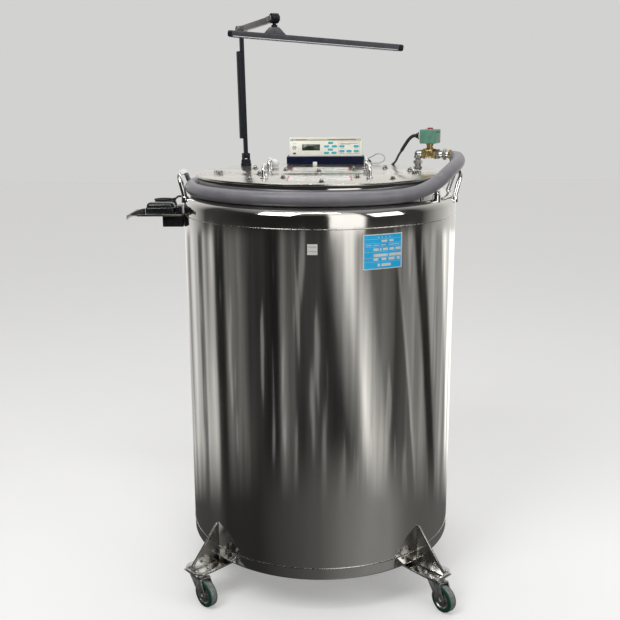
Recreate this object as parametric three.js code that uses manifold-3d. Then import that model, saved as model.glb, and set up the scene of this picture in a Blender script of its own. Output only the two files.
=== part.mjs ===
// Large-neck liquid nitrogen storage dewar on casters, with fill valve, transfer hose,
// level controller, inspection lamp and side shelf.
// Millimetres, +Z up, X to the right and Y to the back when facing the drum.
import * as THREE from 'three';
import { mergeVertices } from 'three/addons/utils/BufferGeometryUtils.js';
import Module from 'manifold-3d';

const wasm = await Module();
wasm.setup();

// ---------------------------------------------------------------- driving dimensions

const RING_STEPS = 48; // facets of every part turned about the drum's axis
const ARC_STEPS = 3; // facets of a rounded corner in a turned profile
const GAP = 0.3; // play between touching pieces

const DRUM_RADIUS = 390;
const SHEET = 3; // thickness of the drum's sheet
const DRUM_BOTTOM = 113;
const LOWER_WELD = 149;
const UPPER_WELD = 1081;
const SHOULDER_TOP = 1135;
const SHOULDER_ROUNDING = 30;
const FOOT_ROUNDING = 8;

const NECK_OUTER = 345; // polished collar that stands on the shoulder
const INNER_RADIUS = 338; // outside of the inner vessel and its neck
const INNER_BOTTOM = 190;
const INNER_ROUNDING = 38;
const COLLAR_FOOT = 1125;
const COLLAR_TOP = 1177.7;
const BLANKET_RADIUS = 372;
const BLANKET_BOTTOM = 145;
const BLANKET_TOP = 1100;

const LID_TOP = 1190;
const PLATE = 6; // thickness of both top plates
const PLATE_RADIUS = 352;
const SPLIT_Y = -38; // the line where the lid meets the fixed plate
const HINGE_RADIUS = 4.5;
const HINGE_Z = LID_TOP + GAP + HINGE_RADIUS;
const PLUG_RADIUS = 322;
const PLUG_DEPTH = 90;
const PLUG_TAPER = 22; // how much narrower the lid's plug is at its foot

const PROBE = { x: -137, y: 138, radius: 8 };
const FILL = { x: 295, y: 139, radius: 6.35 };

const VALVE_TURN = -25; // degrees, direction of the valve's flow in plan
const VALVE_Z = 1232; // height of the valve's bore
const HOSE_RADIUS = 18.5;
const HOSE_RING = 366; // radius of the hose's run round the neck
const HOSE_Z = SHOULDER_TOP + HOSE_RADIUS + 0.5;
const HOSE_ELBOW = 22; // bend radius of the lagged elbow
const HOSE_DROP = 8; // how far the lagged elbow hangs below the valve's bore
const BARB_REACH = 104; // from the riser to the end of the barb

const HANDLE_HEIGHT = 35;
const HANDLE_ROD = 5;
const GRIP_ROD = 6.5;

const BRACKET_ANGLES = { front_left: -138, front_right: -44.5, rear_left: 133, rear_right: 43 };
const HEADINGS = { front_left: -45, front_right: -52, rear_left: 150, rear_right: 80 };
const FOOT_PLATE_Z = 100;
const FOOT_PLATE_REACH = 490;
const SWIVEL_RADIUS = 460;
const SWIVEL_PLATE = 30; // half the side of the plate that carries the swivel
const WHEEL_RADIUS = 37.5;
const WHEEL_WIDTH = 25;
const WHEEL_STEPS = 24;
const TRAIL = 32; // from the swivel's axis to the axle

const LAMP = { x: -233, y: 239, turn: -59.6 };
const LAMP_PIVOT_Z = 1222;
const ELBOW = { x: -15, z: 1600 };
const KNOB = { x: 208, z: 1617 };
const BAR_LENGTH = 500;
const BAR_TILT = 5; // degrees, right end lower

const SHELF = { left: -551, right: -393.5, front: -60, back: 80, top: 1074 };
const CONTROLLER = { x: 16, front: 288, width: 248, depth: 92, height: 23 };
const CASE = { width: 234, depth: 66, height: 58, lean: 15 };

// The drum's axis sits off the part's origin so that the origin is the middle of the footprint.
const RIGHT_REACH = 420.7; // outside of the lagged elbow, from the drum's axis
const AXIS_X = -(SHELF.left + RIGHT_REACH) / 2;

// ---------------------------------------------------------------- materials

const finish = (color, roughness, metalness) =>
  new THREE.MeshStandardMaterial({ color, roughness, metalness });
const polished = finish(0xd6d4cf, 0.06, 1);
const satinSteel = finish(0xb9b7b0, 0.3, 1);
const chrome = finish(0xe4e4e4, 0.04, 1);
const brass = finish(0xb08a3c, 0.3, 1);
const foil = finish(0xcfcfcf, 0.4, 0.8);
const foam = finish(0xf2f0ea, 0.9, 0);
const lagging = finish(0x85848c, 0.6, 0);
const rubber = finish(0x1c1c1c, 0.8, 0);
const blackPlastic = finish(0x15161a, 0.45, 0);
const greenEnamel = finish(0x5b9b80, 0.45, 0);
const creamEnamel = finish(0xefece0, 0.4, 0);
const navyEnamel = finish(0x0c1240, 0.4, 0);
const whitePlastic = finish(0xf4f4f2, 0.4, 0);
const lampGrey = finish(0x3a3c42, 0.4, 0.6);
const armGrey = finish(0x9b9c98, 0.4, 0.7);
const tyre = finish(0x0b3d2c, 0.6, 0);
const paleVinyl = finish(0x9a9a96, 0.5, 0);

// ---------------------------------------------------------------- helpers

const radians = THREE.MathUtils.degToRad;

// A geometry's signed volume is negative when its faces point inwards.
function outward(geometry) {
  const flat = geometry.index ? geometry.toNonIndexed() : geometry;
  const p = flat.attributes.position;
  const [a, b, c] = [new THREE.Vector3(), new THREE.Vector3(), new THREE.Vector3()];
  let volume = 0;
  for (let i = 0; i < p.count; i += 3) {
    a.fromBufferAttribute(p, i);
    b.fromBufferAttribute(p, i + 1);
    c.fromBufferAttribute(p, i + 2);
    volume += a.dot(b.cross(c));
  }
  if (volume > 0) {
    return flat;
  }
  const turned = flat.clone();
  const q = turned.attributes.position;
  for (let i = 0; i < q.count; i += 3) {
    a.fromBufferAttribute(q, i + 1);
    b.fromBufferAttribute(q, i + 2);
    q.setXYZ(i + 1, b.x, b.y, b.z);
    q.setXYZ(i + 2, a.x, a.y, a.z);
  }
  turned.computeVertexNormals();
  return turned;
}

function toSolid(geometry) {
  const bare = new THREE.BufferGeometry();
  bare.setAttribute('position', outward(geometry).attributes.position.clone());
  const welded = mergeVertices(bare, 1e-3);
  const vertProperties = Float32Array.from(welded.attributes.position.array);
  const triVerts = Uint32Array.from(welded.index.array);
  return new wasm.Manifold(new wasm.Mesh({ numProp: 3, vertProperties, triVerts }));
}

function toGeometry(solid) {
  const mesh = solid.getMesh();
  const geometry = new THREE.BufferGeometry();
  geometry.setAttribute('position', new THREE.BufferAttribute(mesh.vertProperties, 3));
  geometry.setIndex(new THREE.BufferAttribute(mesh.triVerts, 1));
  return geometry;
}

function join(...geometries) {
  return toGeometry(geometries.map(toSolid).reduce((whole, piece) => whole.add(piece)));
}

function cut(geometry, ...tools) {
  return toGeometry(tools.map(toSolid).reduce((rest, tool) => rest.subtract(tool), toSolid(geometry)));
}

// A profile of [radius, height] points turned about Z.
function turned(profile, steps = RING_STEPS, start = 0) {
  const points = profile.map(([r, z]) => new THREE.Vector2(r, z));
  return new THREE.LatheGeometry(points, steps, start).rotateX(Math.PI / 2);
}

// A closed ring profile: the first point is repeated so that the section closes on itself.
const ring = (profile, steps) => turned([...profile, profile[0]], steps);

function arc(centreR, centreZ, radius, from, to, steps = ARC_STEPS) {
  return Array.from({ length: steps + 1 }, (_, i) => {
    const a = radians(from + ((to - from) * i) / steps);
    return [centreR + radius * Math.cos(a), centreZ + radius * Math.sin(a)];
  });
}

function rod(radius, z0, z1, sides = 20) {
  const geometry = new THREE.CylinderGeometry(radius, radius, z1 - z0, sides);
  return geometry.rotateX(Math.PI / 2).translate(0, 0, (z0 + z1) / 2);
}

function block(x0, x1, y0, y1, z0, z1) {
  const geometry = new THREE.BoxGeometry(x1 - x0, y1 - y0, z1 - z0);
  return geometry.translate((x0 + x1) / 2, (y0 + y1) / 2, (z0 + z1) / 2);
}

function slab(outline, z0, z1, holes = []) {
  const shape = new THREE.Shape(outline.map(([x, y]) => new THREE.Vector2(x, y)));
  for (const { x, y, radius } of holes) {
    shape.holes.push(new THREE.Path().absarc(x, y, radius, 0, 2 * Math.PI, true));
  }
  const geometry = new THREE.ExtrudeGeometry(shape, { depth: z1 - z0, bevelEnabled: false, curveSegments: 12 });
  return geometry.translate(0, 0, z0);
}

// A flat plate that stands upright: its outline is in X and Z, its thickness runs along Y.
function wall(outline, y0, y1) {
  return slab(outline, 0, y1 - y0).rotateX(Math.PI / 2).translate(0, y1, 0);
}

function tube(curve, radius, steps, sides = 12) {
  const around = Array.from({ length: sides }, (_, i) => {
    const a = (2 * Math.PI * i) / sides;
    return new THREE.Vector2(radius * Math.cos(a), radius * Math.sin(a));
  });
  return new THREE.ExtrudeGeometry(new THREE.Shape(around), { steps, extrudePath: curve, bevelEnabled: false });
}

const through = (points) =>
  new THREE.CatmullRomCurve3(points.map((p) => new THREE.Vector3(...p)), false, 'centripetal');

// The part of a disc on one side of the split line.
function halfDisc(radius, y0, side) {
  const start = Math.asin(y0 / radius);
  const end = side > 0 ? Math.PI - start : -Math.PI - start;
  const steps = 32;
  return Array.from({ length: steps + 1 }, (_, i) => {
    const a = start + ((end - start) * i) / steps;
    return [radius * Math.cos(a), radius * Math.sin(a)];
  });
}

const vessel = new THREE.Group();

function add(name, geometry, material, parent = vessel) {
  const mesh = new THREE.Mesh(outward(geometry), material);
  mesh.name = name;
  parent.add(mesh);
  return mesh;
}

// A frame inside the vessel, placed and turned about Z.
function frame(x, y, z, turn = 0, parent = vessel) {
  const group = new THREE.Group();
  group.position.set(x, y, z);
  group.rotation.z = radians(turn);
  parent.add(group);
  return group;
}

// ---------------------------------------------------------------- drum and vessel

const inside = DRUM_RADIUS - SHEET;
const shoulderR = DRUM_RADIUS - SHOULDER_ROUNDING;
const shoulderZ = SHOULDER_TOP - SHOULDER_ROUNDING;
const footR = DRUM_RADIUS - FOOT_ROUNDING;
const footZ = DRUM_BOTTOM + FOOT_ROUNDING;

add(
  'drum_wall',
  ring([
    [inside, LOWER_WELD + GAP / 2],
    [DRUM_RADIUS, LOWER_WELD + GAP / 2],
    [DRUM_RADIUS, UPPER_WELD - GAP / 2],
    [inside, UPPER_WELD - GAP / 2],
  ]),
  polished,
);

add(
  'top_head',
  ring([
    [DRUM_RADIUS, UPPER_WELD + GAP / 2],
    ...arc(shoulderR, shoulderZ, SHOULDER_ROUNDING, 0, 90),
    [NECK_OUTER + GAP, SHOULDER_TOP],
    [NECK_OUTER + GAP, SHOULDER_TOP - SHEET],
    ...arc(shoulderR, shoulderZ, SHOULDER_ROUNDING - SHEET, 90, 0),
    [inside, UPPER_WELD + GAP / 2],
  ]),
  polished,
);

add(
  'bottom_head',
  turned([
    [0, DRUM_BOTTOM],
    ...arc(footR, footZ, FOOT_ROUNDING, -90, 0),
    [DRUM_RADIUS, LOWER_WELD - GAP / 2],
    [inside, LOWER_WELD - GAP / 2],
    ...arc(footR, footZ, FOOT_ROUNDING - SHEET, 0, -90),
    [0, DRUM_BOTTOM + SHEET],
  ]),
  polished,
);

add(
  'neck_collar',
  ring([
    [INNER_RADIUS + GAP, COLLAR_FOOT],
    [NECK_OUTER, COLLAR_FOOT],
    [NECK_OUTER, COLLAR_TOP],
    [INNER_RADIUS + GAP, COLLAR_TOP],
  ]),
  polished,
);

const innerR = INNER_RADIUS - INNER_ROUNDING;
const innerZ = INNER_BOTTOM + INNER_ROUNDING;
add(
  'inner_vessel',
  turned([
    [0, INNER_BOTTOM],
    ...arc(innerR, innerZ, INNER_ROUNDING, -90, 0),
    [INNER_RADIUS, COLLAR_TOP],
    [INNER_RADIUS - SHEET, COLLAR_TOP],
    ...arc(innerR, innerZ, INNER_ROUNDING - SHEET, 0, -90),
    [0, INNER_BOTTOM + SHEET],
  ]),
  satinSteel,
);

add(
  'insulation_blanket',
  turned([
    [0, BLANKET_BOTTOM],
    [BLANKET_RADIUS - 30, BLANKET_BOTTOM],
    [BLANKET_RADIUS, BLANKET_BOTTOM + 30],
    [BLANKET_RADIUS, BLANKET_TOP],
    [INNER_RADIUS + 2 * GAP, BLANKET_TOP],
    ...arc(innerR, innerZ, INNER_ROUNDING + 2 * GAP, 0, -90),
    [0, INNER_BOTTOM - 2 * GAP],
  ]),
  foil,
);

const RACK_Z = 230;
add(
  'rack_floor',
  turned([
    [0, RACK_Z + SHEET],
    [320, RACK_Z + SHEET],
    [320, RACK_Z],
    [283, RACK_Z],
    [283, INNER_BOTTOM + SHEET + GAP],
    [280, INNER_BOTTOM + SHEET + GAP],
    [280, RACK_Z],
    [0, RACK_Z],
  ]),
  satinSteel,
);

add(
  'lid_gasket',
  ring([
    [336, COLLAR_TOP + GAP],
    [348, COLLAR_TOP + GAP],
    [348, LID_TOP - PLATE - GAP],
    [336, LID_TOP - PLATE - GAP],
  ]),
  rubber,
);

const holes = [PROBE, FILL].map(({ x, y, radius }) => ({ x, y, radius: radius + 2 * GAP }));
const rearOutline = halfDisc(PLATE_RADIUS, SPLIT_Y + 0.5, 1);
add('rear_plate', slab(rearOutline, LID_TOP - PLATE, LID_TOP, holes), polished);

const plugTop = LID_TOP - PLATE - GAP;
const rearPlug = slab(halfDisc(PLUG_RADIUS, SPLIT_Y + 3, 1), plugTop - PLUG_DEPTH, plugTop, [holes[0]]);
const fillNotch = rod(FILL.radius + 3, plugTop - PLUG_DEPTH - 1, plugTop + 1).translate(FILL.x, FILL.y, 0);
const notchMouth = block(FILL.x, FILL.x + 40, FILL.y - 9, FILL.y + 9, plugTop - PLUG_DEPTH - 1, plugTop + 1);
add('rear_foam_plug', cut(rearPlug, fillNotch, notchMouth), foam);

// ---------------------------------------------------------------- lid

add('lid_plate', slab(halfDisc(PLATE_RADIUS, SPLIT_Y - 0.5, -1), LID_TOP - PLATE, LID_TOP), polished);

const plugCone = new THREE.CylinderGeometry(PLUG_RADIUS, PLUG_RADIUS - PLUG_TAPER, PLUG_DEPTH, 40)
  .rotateX(Math.PI / 2)
  .translate(0, 0, plugTop - PLUG_DEPTH / 2);
const behindSplit = block(-400, 400, SPLIT_Y - 3, 400, plugTop - 200, plugTop + 10);
add('lid_foam_plug', cut(plugCone, behindSplit), foam);

for (const [name, x] of [['lid_hinge_left', -287], ['lid_hinge_right', 274]]) {
  const barrel = new THREE.CylinderGeometry(HINGE_RADIUS, HINGE_RADIUS, 38, 16);
  barrel.rotateZ(Math.PI / 2).translate(x, SPLIT_Y, HINGE_Z);
  const leaf = block(x - 19, x + 19, SPLIT_Y - 24, SPLIT_Y, LID_TOP + GAP, LID_TOP + GAP + 2);
  add(name, join(barrel, leaf), chrome);
}

// ---------------------------------------------------------------- handles and grips

// A path of straight runs with rounded corners.
function bent(corners, radius) {
  const path = new THREE.CurvePath();
  const points = corners.map((p) => new THREE.Vector3(...p));
  let from = points[0];
  for (let i = 1; i < points.length - 1; i += 1) {
    const into = points[i].clone().sub(points[i - 1]).setLength(radius);
    const out = points[i + 1].clone().sub(points[i]).setLength(radius);
    const before = points[i].clone().sub(into);
    const after = points[i].clone().add(out);
    path.add(new THREE.LineCurve3(from, before));
    path.add(new THREE.QuadraticBezierCurve3(before, points[i], after));
    from = after;
  }
  path.add(new THREE.LineCurve3(from, points[points.length - 1]));
  return path;
}

function plateHandle(name, x, y0, y1) {
  const foot = LID_TOP + GAP;
  const top = LID_TOP + HANDLE_HEIGHT - HANDLE_ROD;
  const bow = tube(bent([[x, y0, foot], [x, y0, top], [x, y1, top], [x, y1, foot]], 14), HANDLE_ROD, 16, 8);
  const feet = [y0, y1].map((y) => rod(9, foot, foot + 3, 12).translate(x, y, 0));
  add(name, join(bow, ...feet), chrome);
}

plateHandle('lid_handle_left', -148, -190, -105);
plateHandle('lid_handle_right', 136, -190, -105);
plateHandle('rear_handle_left', -148, 35, 120);
plateHandle('rear_handle_right', 136, 35, 120);

// The outside of the shoulder with its play, to trim what stands on it.
const shoulderForm = ring([
  [300, 1000],
  [DRUM_RADIUS + GAP, 1000],
  ...arc(shoulderR, shoulderZ, SHOULDER_ROUNDING + GAP, 0, 90),
  [300, SHOULDER_TOP + GAP],
]);

// A grip arch that stands on the rounded shoulder and leans outwards over the hose.
function sideGrip(name, side) {
  const footX = side * 377;
  const topX = side * 397;
  const corners = [
    [footX, -80, 1124],
    [topX, -62, 1190],
    [topX, 62, 1190],
    [footX, 80, 1124],
  ];
  const arch = tube(bent(corners, 26), GRIP_ROD, 18, 8);
  const feet = [-80, 80].map((y) => rod(11, 1112, 1130, 12).translate(footX, y, 0));
  add(name, cut(join(arch, ...feet), shoulderForm), chrome);
}

sideGrip('side_grip_left', -1);
sideGrip('side_grip_right', 1);

const PORT_RING = 371;
const PORT_ANGLE = radians(-32);
const portX = PORT_RING * Math.cos(PORT_ANGLE);
const portY = PORT_RING * Math.sin(PORT_ANGLE);
const port = join(rod(11, 1120, 1148, 20), rod(7, 1147, 1156, 16)).translate(portX, portY, 0);
add('vacuum_port', cut(port, shoulderForm), chrome);

// ---------------------------------------------------------------- level probe, fill line and valve

add(
  'level_probe',
  join(
    rod(PROBE.radius, 250, LID_TOP + 2, 16),
    rod(12, LID_TOP + GAP, LID_TOP + 4, 20),
    new THREE.SphereGeometry(13, 14, 8).rotateX(Math.PI / 2).translate(0, 0, LID_TOP + 15),
  ).translate(PROBE.x, PROBE.y, 0),
  whitePlastic,
);

add(
  'fill_riser',
  join(
    rod(FILL.radius, 300, LID_TOP + 2, 12),
    rod(13, LID_TOP + GAP, LID_TOP + 5, 20),
    rod(8.5, LID_TOP + 4, LID_TOP + 28, 16),
    rod(13.5, LID_TOP + 12, LID_TOP + 22, 6),
  ).translate(FILL.x, FILL.y, 0),
  satinSteel,
);

const flow = frame(FILL.x, FILL.y, VALVE_Z, VALVE_TURN);

// Turned pieces along the valve's flow: [from, to, radius, sides] measured from the riser.
function along(stations, offset = 0) {
  return join(
    ...stations.map(([from, to, radius, sides]) =>
      new THREE.CylinderGeometry(radius, radius, to - from, sides)
        .rotateZ(Math.PI / 2)
        .translate((from + to) / 2, 0, offset),
    ),
  );
}

const elbowFoot = LID_TOP + 28 + GAP - VALVE_Z;
add(
  'riser_elbow',
  join(
    rod(12, elbowFoot, 4, 16),
    new THREE.SphereGeometry(12, 12, 8),
    along([[0, 14, 12, 16]]),
  ),
  satinSteel,
  flow,
);

const BONNET_TOP = 1262.7 - VALVE_Z;
add(
  'valve_body',
  join(along([[14.3, 58, 14, 8]]), block(24, 50, -15, 15, -14, 14), rod(9, 0, BONNET_TOP, 16).translate(36, 0, 0)),
  brass,
  flow,
);
add('valve_coil', block(12, 60, -26.5, 26.5, BONNET_TOP + GAP, BONNET_TOP + GAP + 41), greenEnamel, flow);
add('cable_gland', along([[4.5, 11.7, 15, 20], [-8, 5, 10, 6]], BONNET_TOP + 22), creamEnamel, flow);
add(
  'outlet_union',
  along([
    [58.3, 68, 13.5, 6],
    [67, 80, 11, 16],
    [79, 88, 16, 6],
    [87, 97, 11, 16],
    [96, BARB_REACH, 13.5, 12],
  ]),
  satinSteel,
  flow,
);

// A level arc that turns clockwise from one heading to another.
class LevelArc extends THREE.Curve {
  constructor(start, radius, from, to) {
    super();
    Object.assign(this, { start, radius, from: radians(from), to: radians(to) });
  }

  getPoint(t) {
    const heading = this.from + (this.to - this.from) * t;
    return new THREE.Vector3(
      this.start.x + this.radius * (Math.sin(this.from) - Math.sin(heading)),
      this.start.y - this.radius * (Math.cos(this.from) - Math.cos(heading)),
      this.start.z,
    );
  }
}

// The lagged elbow turns the line from the valve towards the front of the drum.
const elbowStart = new THREE.Vector3(BARB_REACH + GAP, 0, 0)
  .applyAxisAngle(new THREE.Vector3(0, 0, 1), radians(VALVE_TURN))
  .add(new THREE.Vector3(FILL.x, FILL.y, VALVE_Z - HOSE_DROP));
const ELBOW_END = -94;
const elbowCurve = new LevelArc(elbowStart, HOSE_ELBOW, VALVE_TURN, ELBOW_END);
add('elbow_lagging', tube(elbowCurve, HOSE_RADIUS, 8, 16), lagging);

// The hose falls from the elbow, over the right grip, to the shoulder, and runs clockwise round the neck.
const HOSE_FALL = [
  [402, 71.2, 1224],
  [399.5, 36, 1224],
  [394.5, -15, 1222],
  [384, -65, 1217.5],
  [368, -112, 1210.5],
  [347, -156, 1199.5],
  [320.5, -195, 1183],
  [286, -232, 1167],
  [238, -278.5, 1157],
];
const HOSE_RING_FROM = -60;
const HOSE_RING_TO = -240;
const hoseRing = [];
for (let a = HOSE_RING_FROM; a >= HOSE_RING_TO; a -= 15) {
  hoseRing.push([HOSE_RING * Math.cos(radians(a)), HOSE_RING * Math.sin(radians(a)), HOSE_Z]);
}
add('transfer_hose', tube(through([...HOSE_FALL, ...hoseRing]), HOSE_RADIUS, 36, 10), lagging);

const [endX, endY] = hoseRing[hoseRing.length - 1];
const hoseEnd = frame(endX, endY, HOSE_Z, HOSE_RING_TO - 90);
add(
  'hose_end_fitting',
  along([
    [2.5, 20, 11, 16],
    [19, 33, 15, 6],
    [32, 48, 9.5, 16],
  ]),
  brass,
  hoseEnd,
);

// ---------------------------------------------------------------- controller and its lead

add(
  'controller_stand',
  join(
    block(0, 90, 358, 361, SHOULDER_TOP + GAP, LID_TOP),
    block(0, 90, 358, 378, LID_TOP - 3, LID_TOP),
    block(0, 90, 349, 361, SHOULDER_TOP + GAP, SHOULDER_TOP + 4),
  ),
  satinSteel,
);
add(
  'controller_base',
  block(
    CONTROLLER.x - CONTROLLER.width / 2,
    CONTROLLER.x + CONTROLLER.width / 2,
    CONTROLLER.front,
    CONTROLLER.front + CONTROLLER.depth,
    LID_TOP + GAP,
    LID_TOP + GAP + CONTROLLER.height,
  ),
  navyEnamel,
);
const caseFoot = LID_TOP + 2 * GAP + CONTROLLER.height;
const caseLean = CASE.height * Math.tan(radians(CASE.lean));
add(
  'controller_case',
  slab(
    [
      [0, 0],
      [CASE.depth, 0],
      [CASE.depth, CASE.height],
      [caseLean, CASE.height],
    ],
    0,
    CASE.width,
  )
    .rotateX(Math.PI / 2)
    .rotateZ(Math.PI / 2)
    .translate(CONTROLLER.x - CASE.width / 2, CONTROLLER.front + 8, caseFoot),
  creamEnamel,
);

const SOLENOID_LEAD = [
  [286.9, 142.8, 1284.7],
  [279.5, 146.5, 1283.5],
  [270, 152.5, 1276],
  [259, 165, 1259],
  [249, 184, 1239],
  [241, 210, 1221],
  [237, 238, 1206],
  [232, 268, 1194],
  [220, 292, 1182],
  [202, 312, 1168],
  [183, 326, 1166],
  [166, 334, 1182],
  [158, 337, 1196],
  [149, 338, 1200],
  [140.8, 338, 1200],
];
add('solenoid_lead', tube(through(SOLENOID_LEAD), 3.5, 26, 8), rubber);

const SENSOR_LEAD = [
  [140.8, 310, 1206],
  [149, 310, 1206],
  [165, 303, 1213],
  [182, 290, 1222],
  [198, 284, 1218],
  [203, 281, 1206],
  [192, 278, 1196],
  [172, 279, 1193.5],
  [152, 290, 1194.5],
  [140.8, 291, 1196],
];
add('sensor_lead', tube(through(SENSOR_LEAD), 2, 24, 8), paleVinyl);

// ---------------------------------------------------------------- shelf

add('shelf_arm', block(-452, -392, -40, 20, 1038, SHELF.top - 3 - GAP), blackPlastic);
add(
  'shelf_tray',
  join(
    block(SHELF.left, SHELF.right, SHELF.front, SHELF.back, SHELF.top - 2, SHELF.top),
    block(SHELF.left, SHELF.left + 2, SHELF.front, SHELF.back, SHELF.top - 22, SHELF.top),
    block(SHELF.left + 30, SHELF.right, SHELF.front, SHELF.front + 2, SHELF.top - 3, SHELF.top + 3),
    block(SHELF.left + 30, SHELF.right, SHELF.back - 2, SHELF.back, SHELF.top - 3, SHELF.top + 3),
  ),
  satinSteel,
);
add('power_adapter', block(-499, -416, -48, -2, SHELF.top + GAP, SHELF.top + 34), blackPlastic);

const COIL = { x: -455, y: 38, middle: 29, band: 16, foot: SHELF.top + GAP, top: SHELF.top + 36 };
add(
  'lead_coil',
  ring(
    [
      [COIL.middle - COIL.band / 2, COIL.foot],
      [COIL.middle + COIL.band / 2, COIL.foot],
      [COIL.middle + COIL.band / 2, COIL.top],
      [COIL.middle - COIL.band / 2, COIL.top],
    ],
    20,
  ).translate(COIL.x, COIL.y, 0),
  rubber,
);

// The adapter's lead runs round the drum's wall, then climbs to the back of the controller.
const LEAD_RING = 394.2;
const onWall = (angle, z) => [LEAD_RING * Math.cos(radians(angle)), LEAD_RING * Math.sin(radians(angle)), z];
const ADAPTER_LEAD = [
  [COIL.x + COIL.middle - 4, COIL.y + 12, COIL.top + 3.8],
  [-418, 70, 1114],
  [-403, 92, 1107],
  onWall(163, 1098),
  onWall(156, 1094),
  onWall(148, 1093),
  onWall(140, 1093),
  onWall(132, 1093),
  onWall(124, 1093),
  onWall(116, 1094),
  onWall(109, 1100),
  [-101, 386, 1118],
  [-82, 394, 1146],
  [-70, 398, 1178],
  [-65, 398, 1195],
  [-64, 392, 1202],
  [-64, 380.8, 1202],
];
add('adapter_lead', tube(through(ADAPTER_LEAD), 3, 40, 8), rubber);

// ---------------------------------------------------------------- caster brackets and casters

function caster(corner) {
  const radial = frame(0, 0, 0, BRACKET_ANGLES[corner]);
  const footOutline = [
    [350, -36],
    [440, -42],
    [472, -42],
    [FOOT_PLATE_REACH, -22],
    [FOOT_PLATE_REACH, 22],
    [472, 42],
    [440, 42],
    [350, 36],
  ];
  const gusset = wall([[390.5, 103], [390.5, 221], [394, 222], [486, 116], [486, 103]], -2.5, 2.5);
  const from = SWIVEL_RADIUS - SWIVEL_PLATE;
  const to = SWIVEL_RADIUS + SWIVEL_PLATE;
  const plate = block(from, to, -SWIVEL_PLATE, SWIVEL_PLATE, FOOT_PLATE_Z - 4, FOOT_PLATE_Z + 1);
  const pad = block(352, 366, -32, 32, FOOT_PLATE_Z + 4, DRUM_BOTTOM - GAP);
  const foot = slab(footOutline, FOOT_PLATE_Z, FOOT_PLATE_Z + 5);
  add(`bracket_${corner}`, join(foot, gusset, plate, pad), polished, radial);

  const angle = radians(BRACKET_ANGLES[corner]);
  const swivel = frame(SWIVEL_RADIUS * Math.cos(angle), SWIVEL_RADIUS * Math.sin(angle), 0, HEADINGS[corner]);
  const race = rod(24, 83, FOOT_PLATE_Z - 4 - GAP, 16);
  const crown = block(-20, 30, -18, 18, 80, 84);
  const cheekOutline = [[-20, 84], [30, 84], [45, 46], [44, 30], [TRAIL, 25], [21, 30]];
  const cheeks = [-18, 15].map((y) => wall(cheekOutline, y, y + 3));
  const axle = new THREE.CylinderGeometry(4, 4, 40, 12).translate(TRAIL, 0, WHEEL_RADIUS);
  add(`fork_${corner}`, join(race, crown, ...cheeks, axle), satinSteel, swivel);

  const half = WHEEL_WIDTH / 2;
  const tread = WHEEL_RADIUS / Math.cos(Math.PI / WHEEL_STEPS);
  const section = [
    [4.4, -half - 1],
    [12, -half - 1],
    [26, -half],
    [tread - 3, -half],
    [tread, -half + 4],
    [tread, half - 4],
    [tread - 3, half],
    [26, half],
    [12, half + 1],
    [4.4, half + 1],
    [4.4, -half - 1],
  ].map(([r, y]) => new THREE.Vector2(r, y));
  const wheel = new THREE.LatheGeometry(section, WHEEL_STEPS, Math.PI / WHEEL_STEPS);
  add(`wheel_${corner}`, wheel.translate(TRAIL, 0, WHEEL_RADIUS), tyre, swivel);
}

Object.keys(BRACKET_ANGLES).forEach(caster);

// ---------------------------------------------------------------- lamp

const lamp = frame(LAMP.x, LAMP.y, 0, LAMP.turn);
add('lamp_foot', rod(16.5, LID_TOP + GAP, LID_TOP + 8, 24), blackPlastic, lamp);
const forkEars = [-11, 7].map((y) => wall([[-8, 1205], [8, 1205], [8, 1229], [-8, 1229]], y, y + 4));
add('lamp_swivel', join(rod(15, LID_TOP + 8 + GAP, 1210, 24), ...forkEars), blackPlastic, lamp);

const lean = Math.atan2(ELBOW.x, ELBOW.z - LAMP_PIVOT_Z);
const lowerLength = Math.hypot(ELBOW.x, ELBOW.z - LAMP_PIVOT_Z);
const lower = new THREE.Group();
lower.position.set(0, 0, LAMP_PIVOT_Z);
lower.rotation.y = lean;
lamp.add(lower);
const hub = (y0, y1, radius, x = 0, z = 0) =>
  new THREE.CylinderGeometry(radius, radius, y1 - y0, 20).translate(x, (y0 + y1) / 2, z);
add(
  'lower_arm',
  join(
    hub(-6.5, 6.5, 9),
    block(-7, 7, -5, 5, 0, lowerLength),
    block(-9, 9, -16, -4.5, 52, 314),
    hub(-6, 6, 9, 0, lowerLength),
  ),
  lampGrey,
  lower,
);

const upperLength = Math.hypot(KNOB.x - ELBOW.x, KNOB.z - ELBOW.z);
const upper = new THREE.Group();
upper.position.set(ELBOW.x, 0, ELBOW.z);
upper.rotation.y = -Math.atan2(KNOB.z - ELBOW.z, KNOB.x - ELBOW.x);
lamp.add(upper);
add(
  'upper_arm',
  join(
    hub(6.3, 16, 10),
    hub(-16, -6.3, 10),
    block(21, upperLength - 19, -9, 9, -8, 8),
    block(-6, 26, 6.3, 11, -8, 8),
    block(-6, 26, -11, -6.3, -8, 8),
    block(upperLength - 24, upperLength + 6, 11.3, 16, -7, 7),
    block(upperLength - 24, upperLength - 19, -16, 16, -7, 7),
    block(upperLength - 24, upperLength + 6, -16, -11.3, -7, 7),
  ),
  armGrey,
  upper,
);

const head = frame(KNOB.x, 0, 0, 0, lamp);
add(
  'lamp_knuckle',
  join(hub(-11, 11, 14, 0, KNOB.z), rod(5.5, 1593, KNOB.z - 8, 16), rod(9, 1593, 1599, 20)),
  blackPlastic,
  head,
);

// The bar hangs under the knuckle, turned back to lie along X.
const bar = frame(KNOB.x, 0, 1592.7, -LAMP.turn, lamp);
const mount = wall([[-34, -22], [34, -22], [14, -0.2], [-14, -0.2]], -14, 14);
const channel = block(-132, BAR_LENGTH - 132, -17, 17, -18, 0);
channel.rotateY(radians(BAR_TILT)).translate(0, 0, -18.5);
add('lamp_bar', join(mount, channel), lampGrey, bar);

// ---------------------------------------------------------------- the whole

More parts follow.
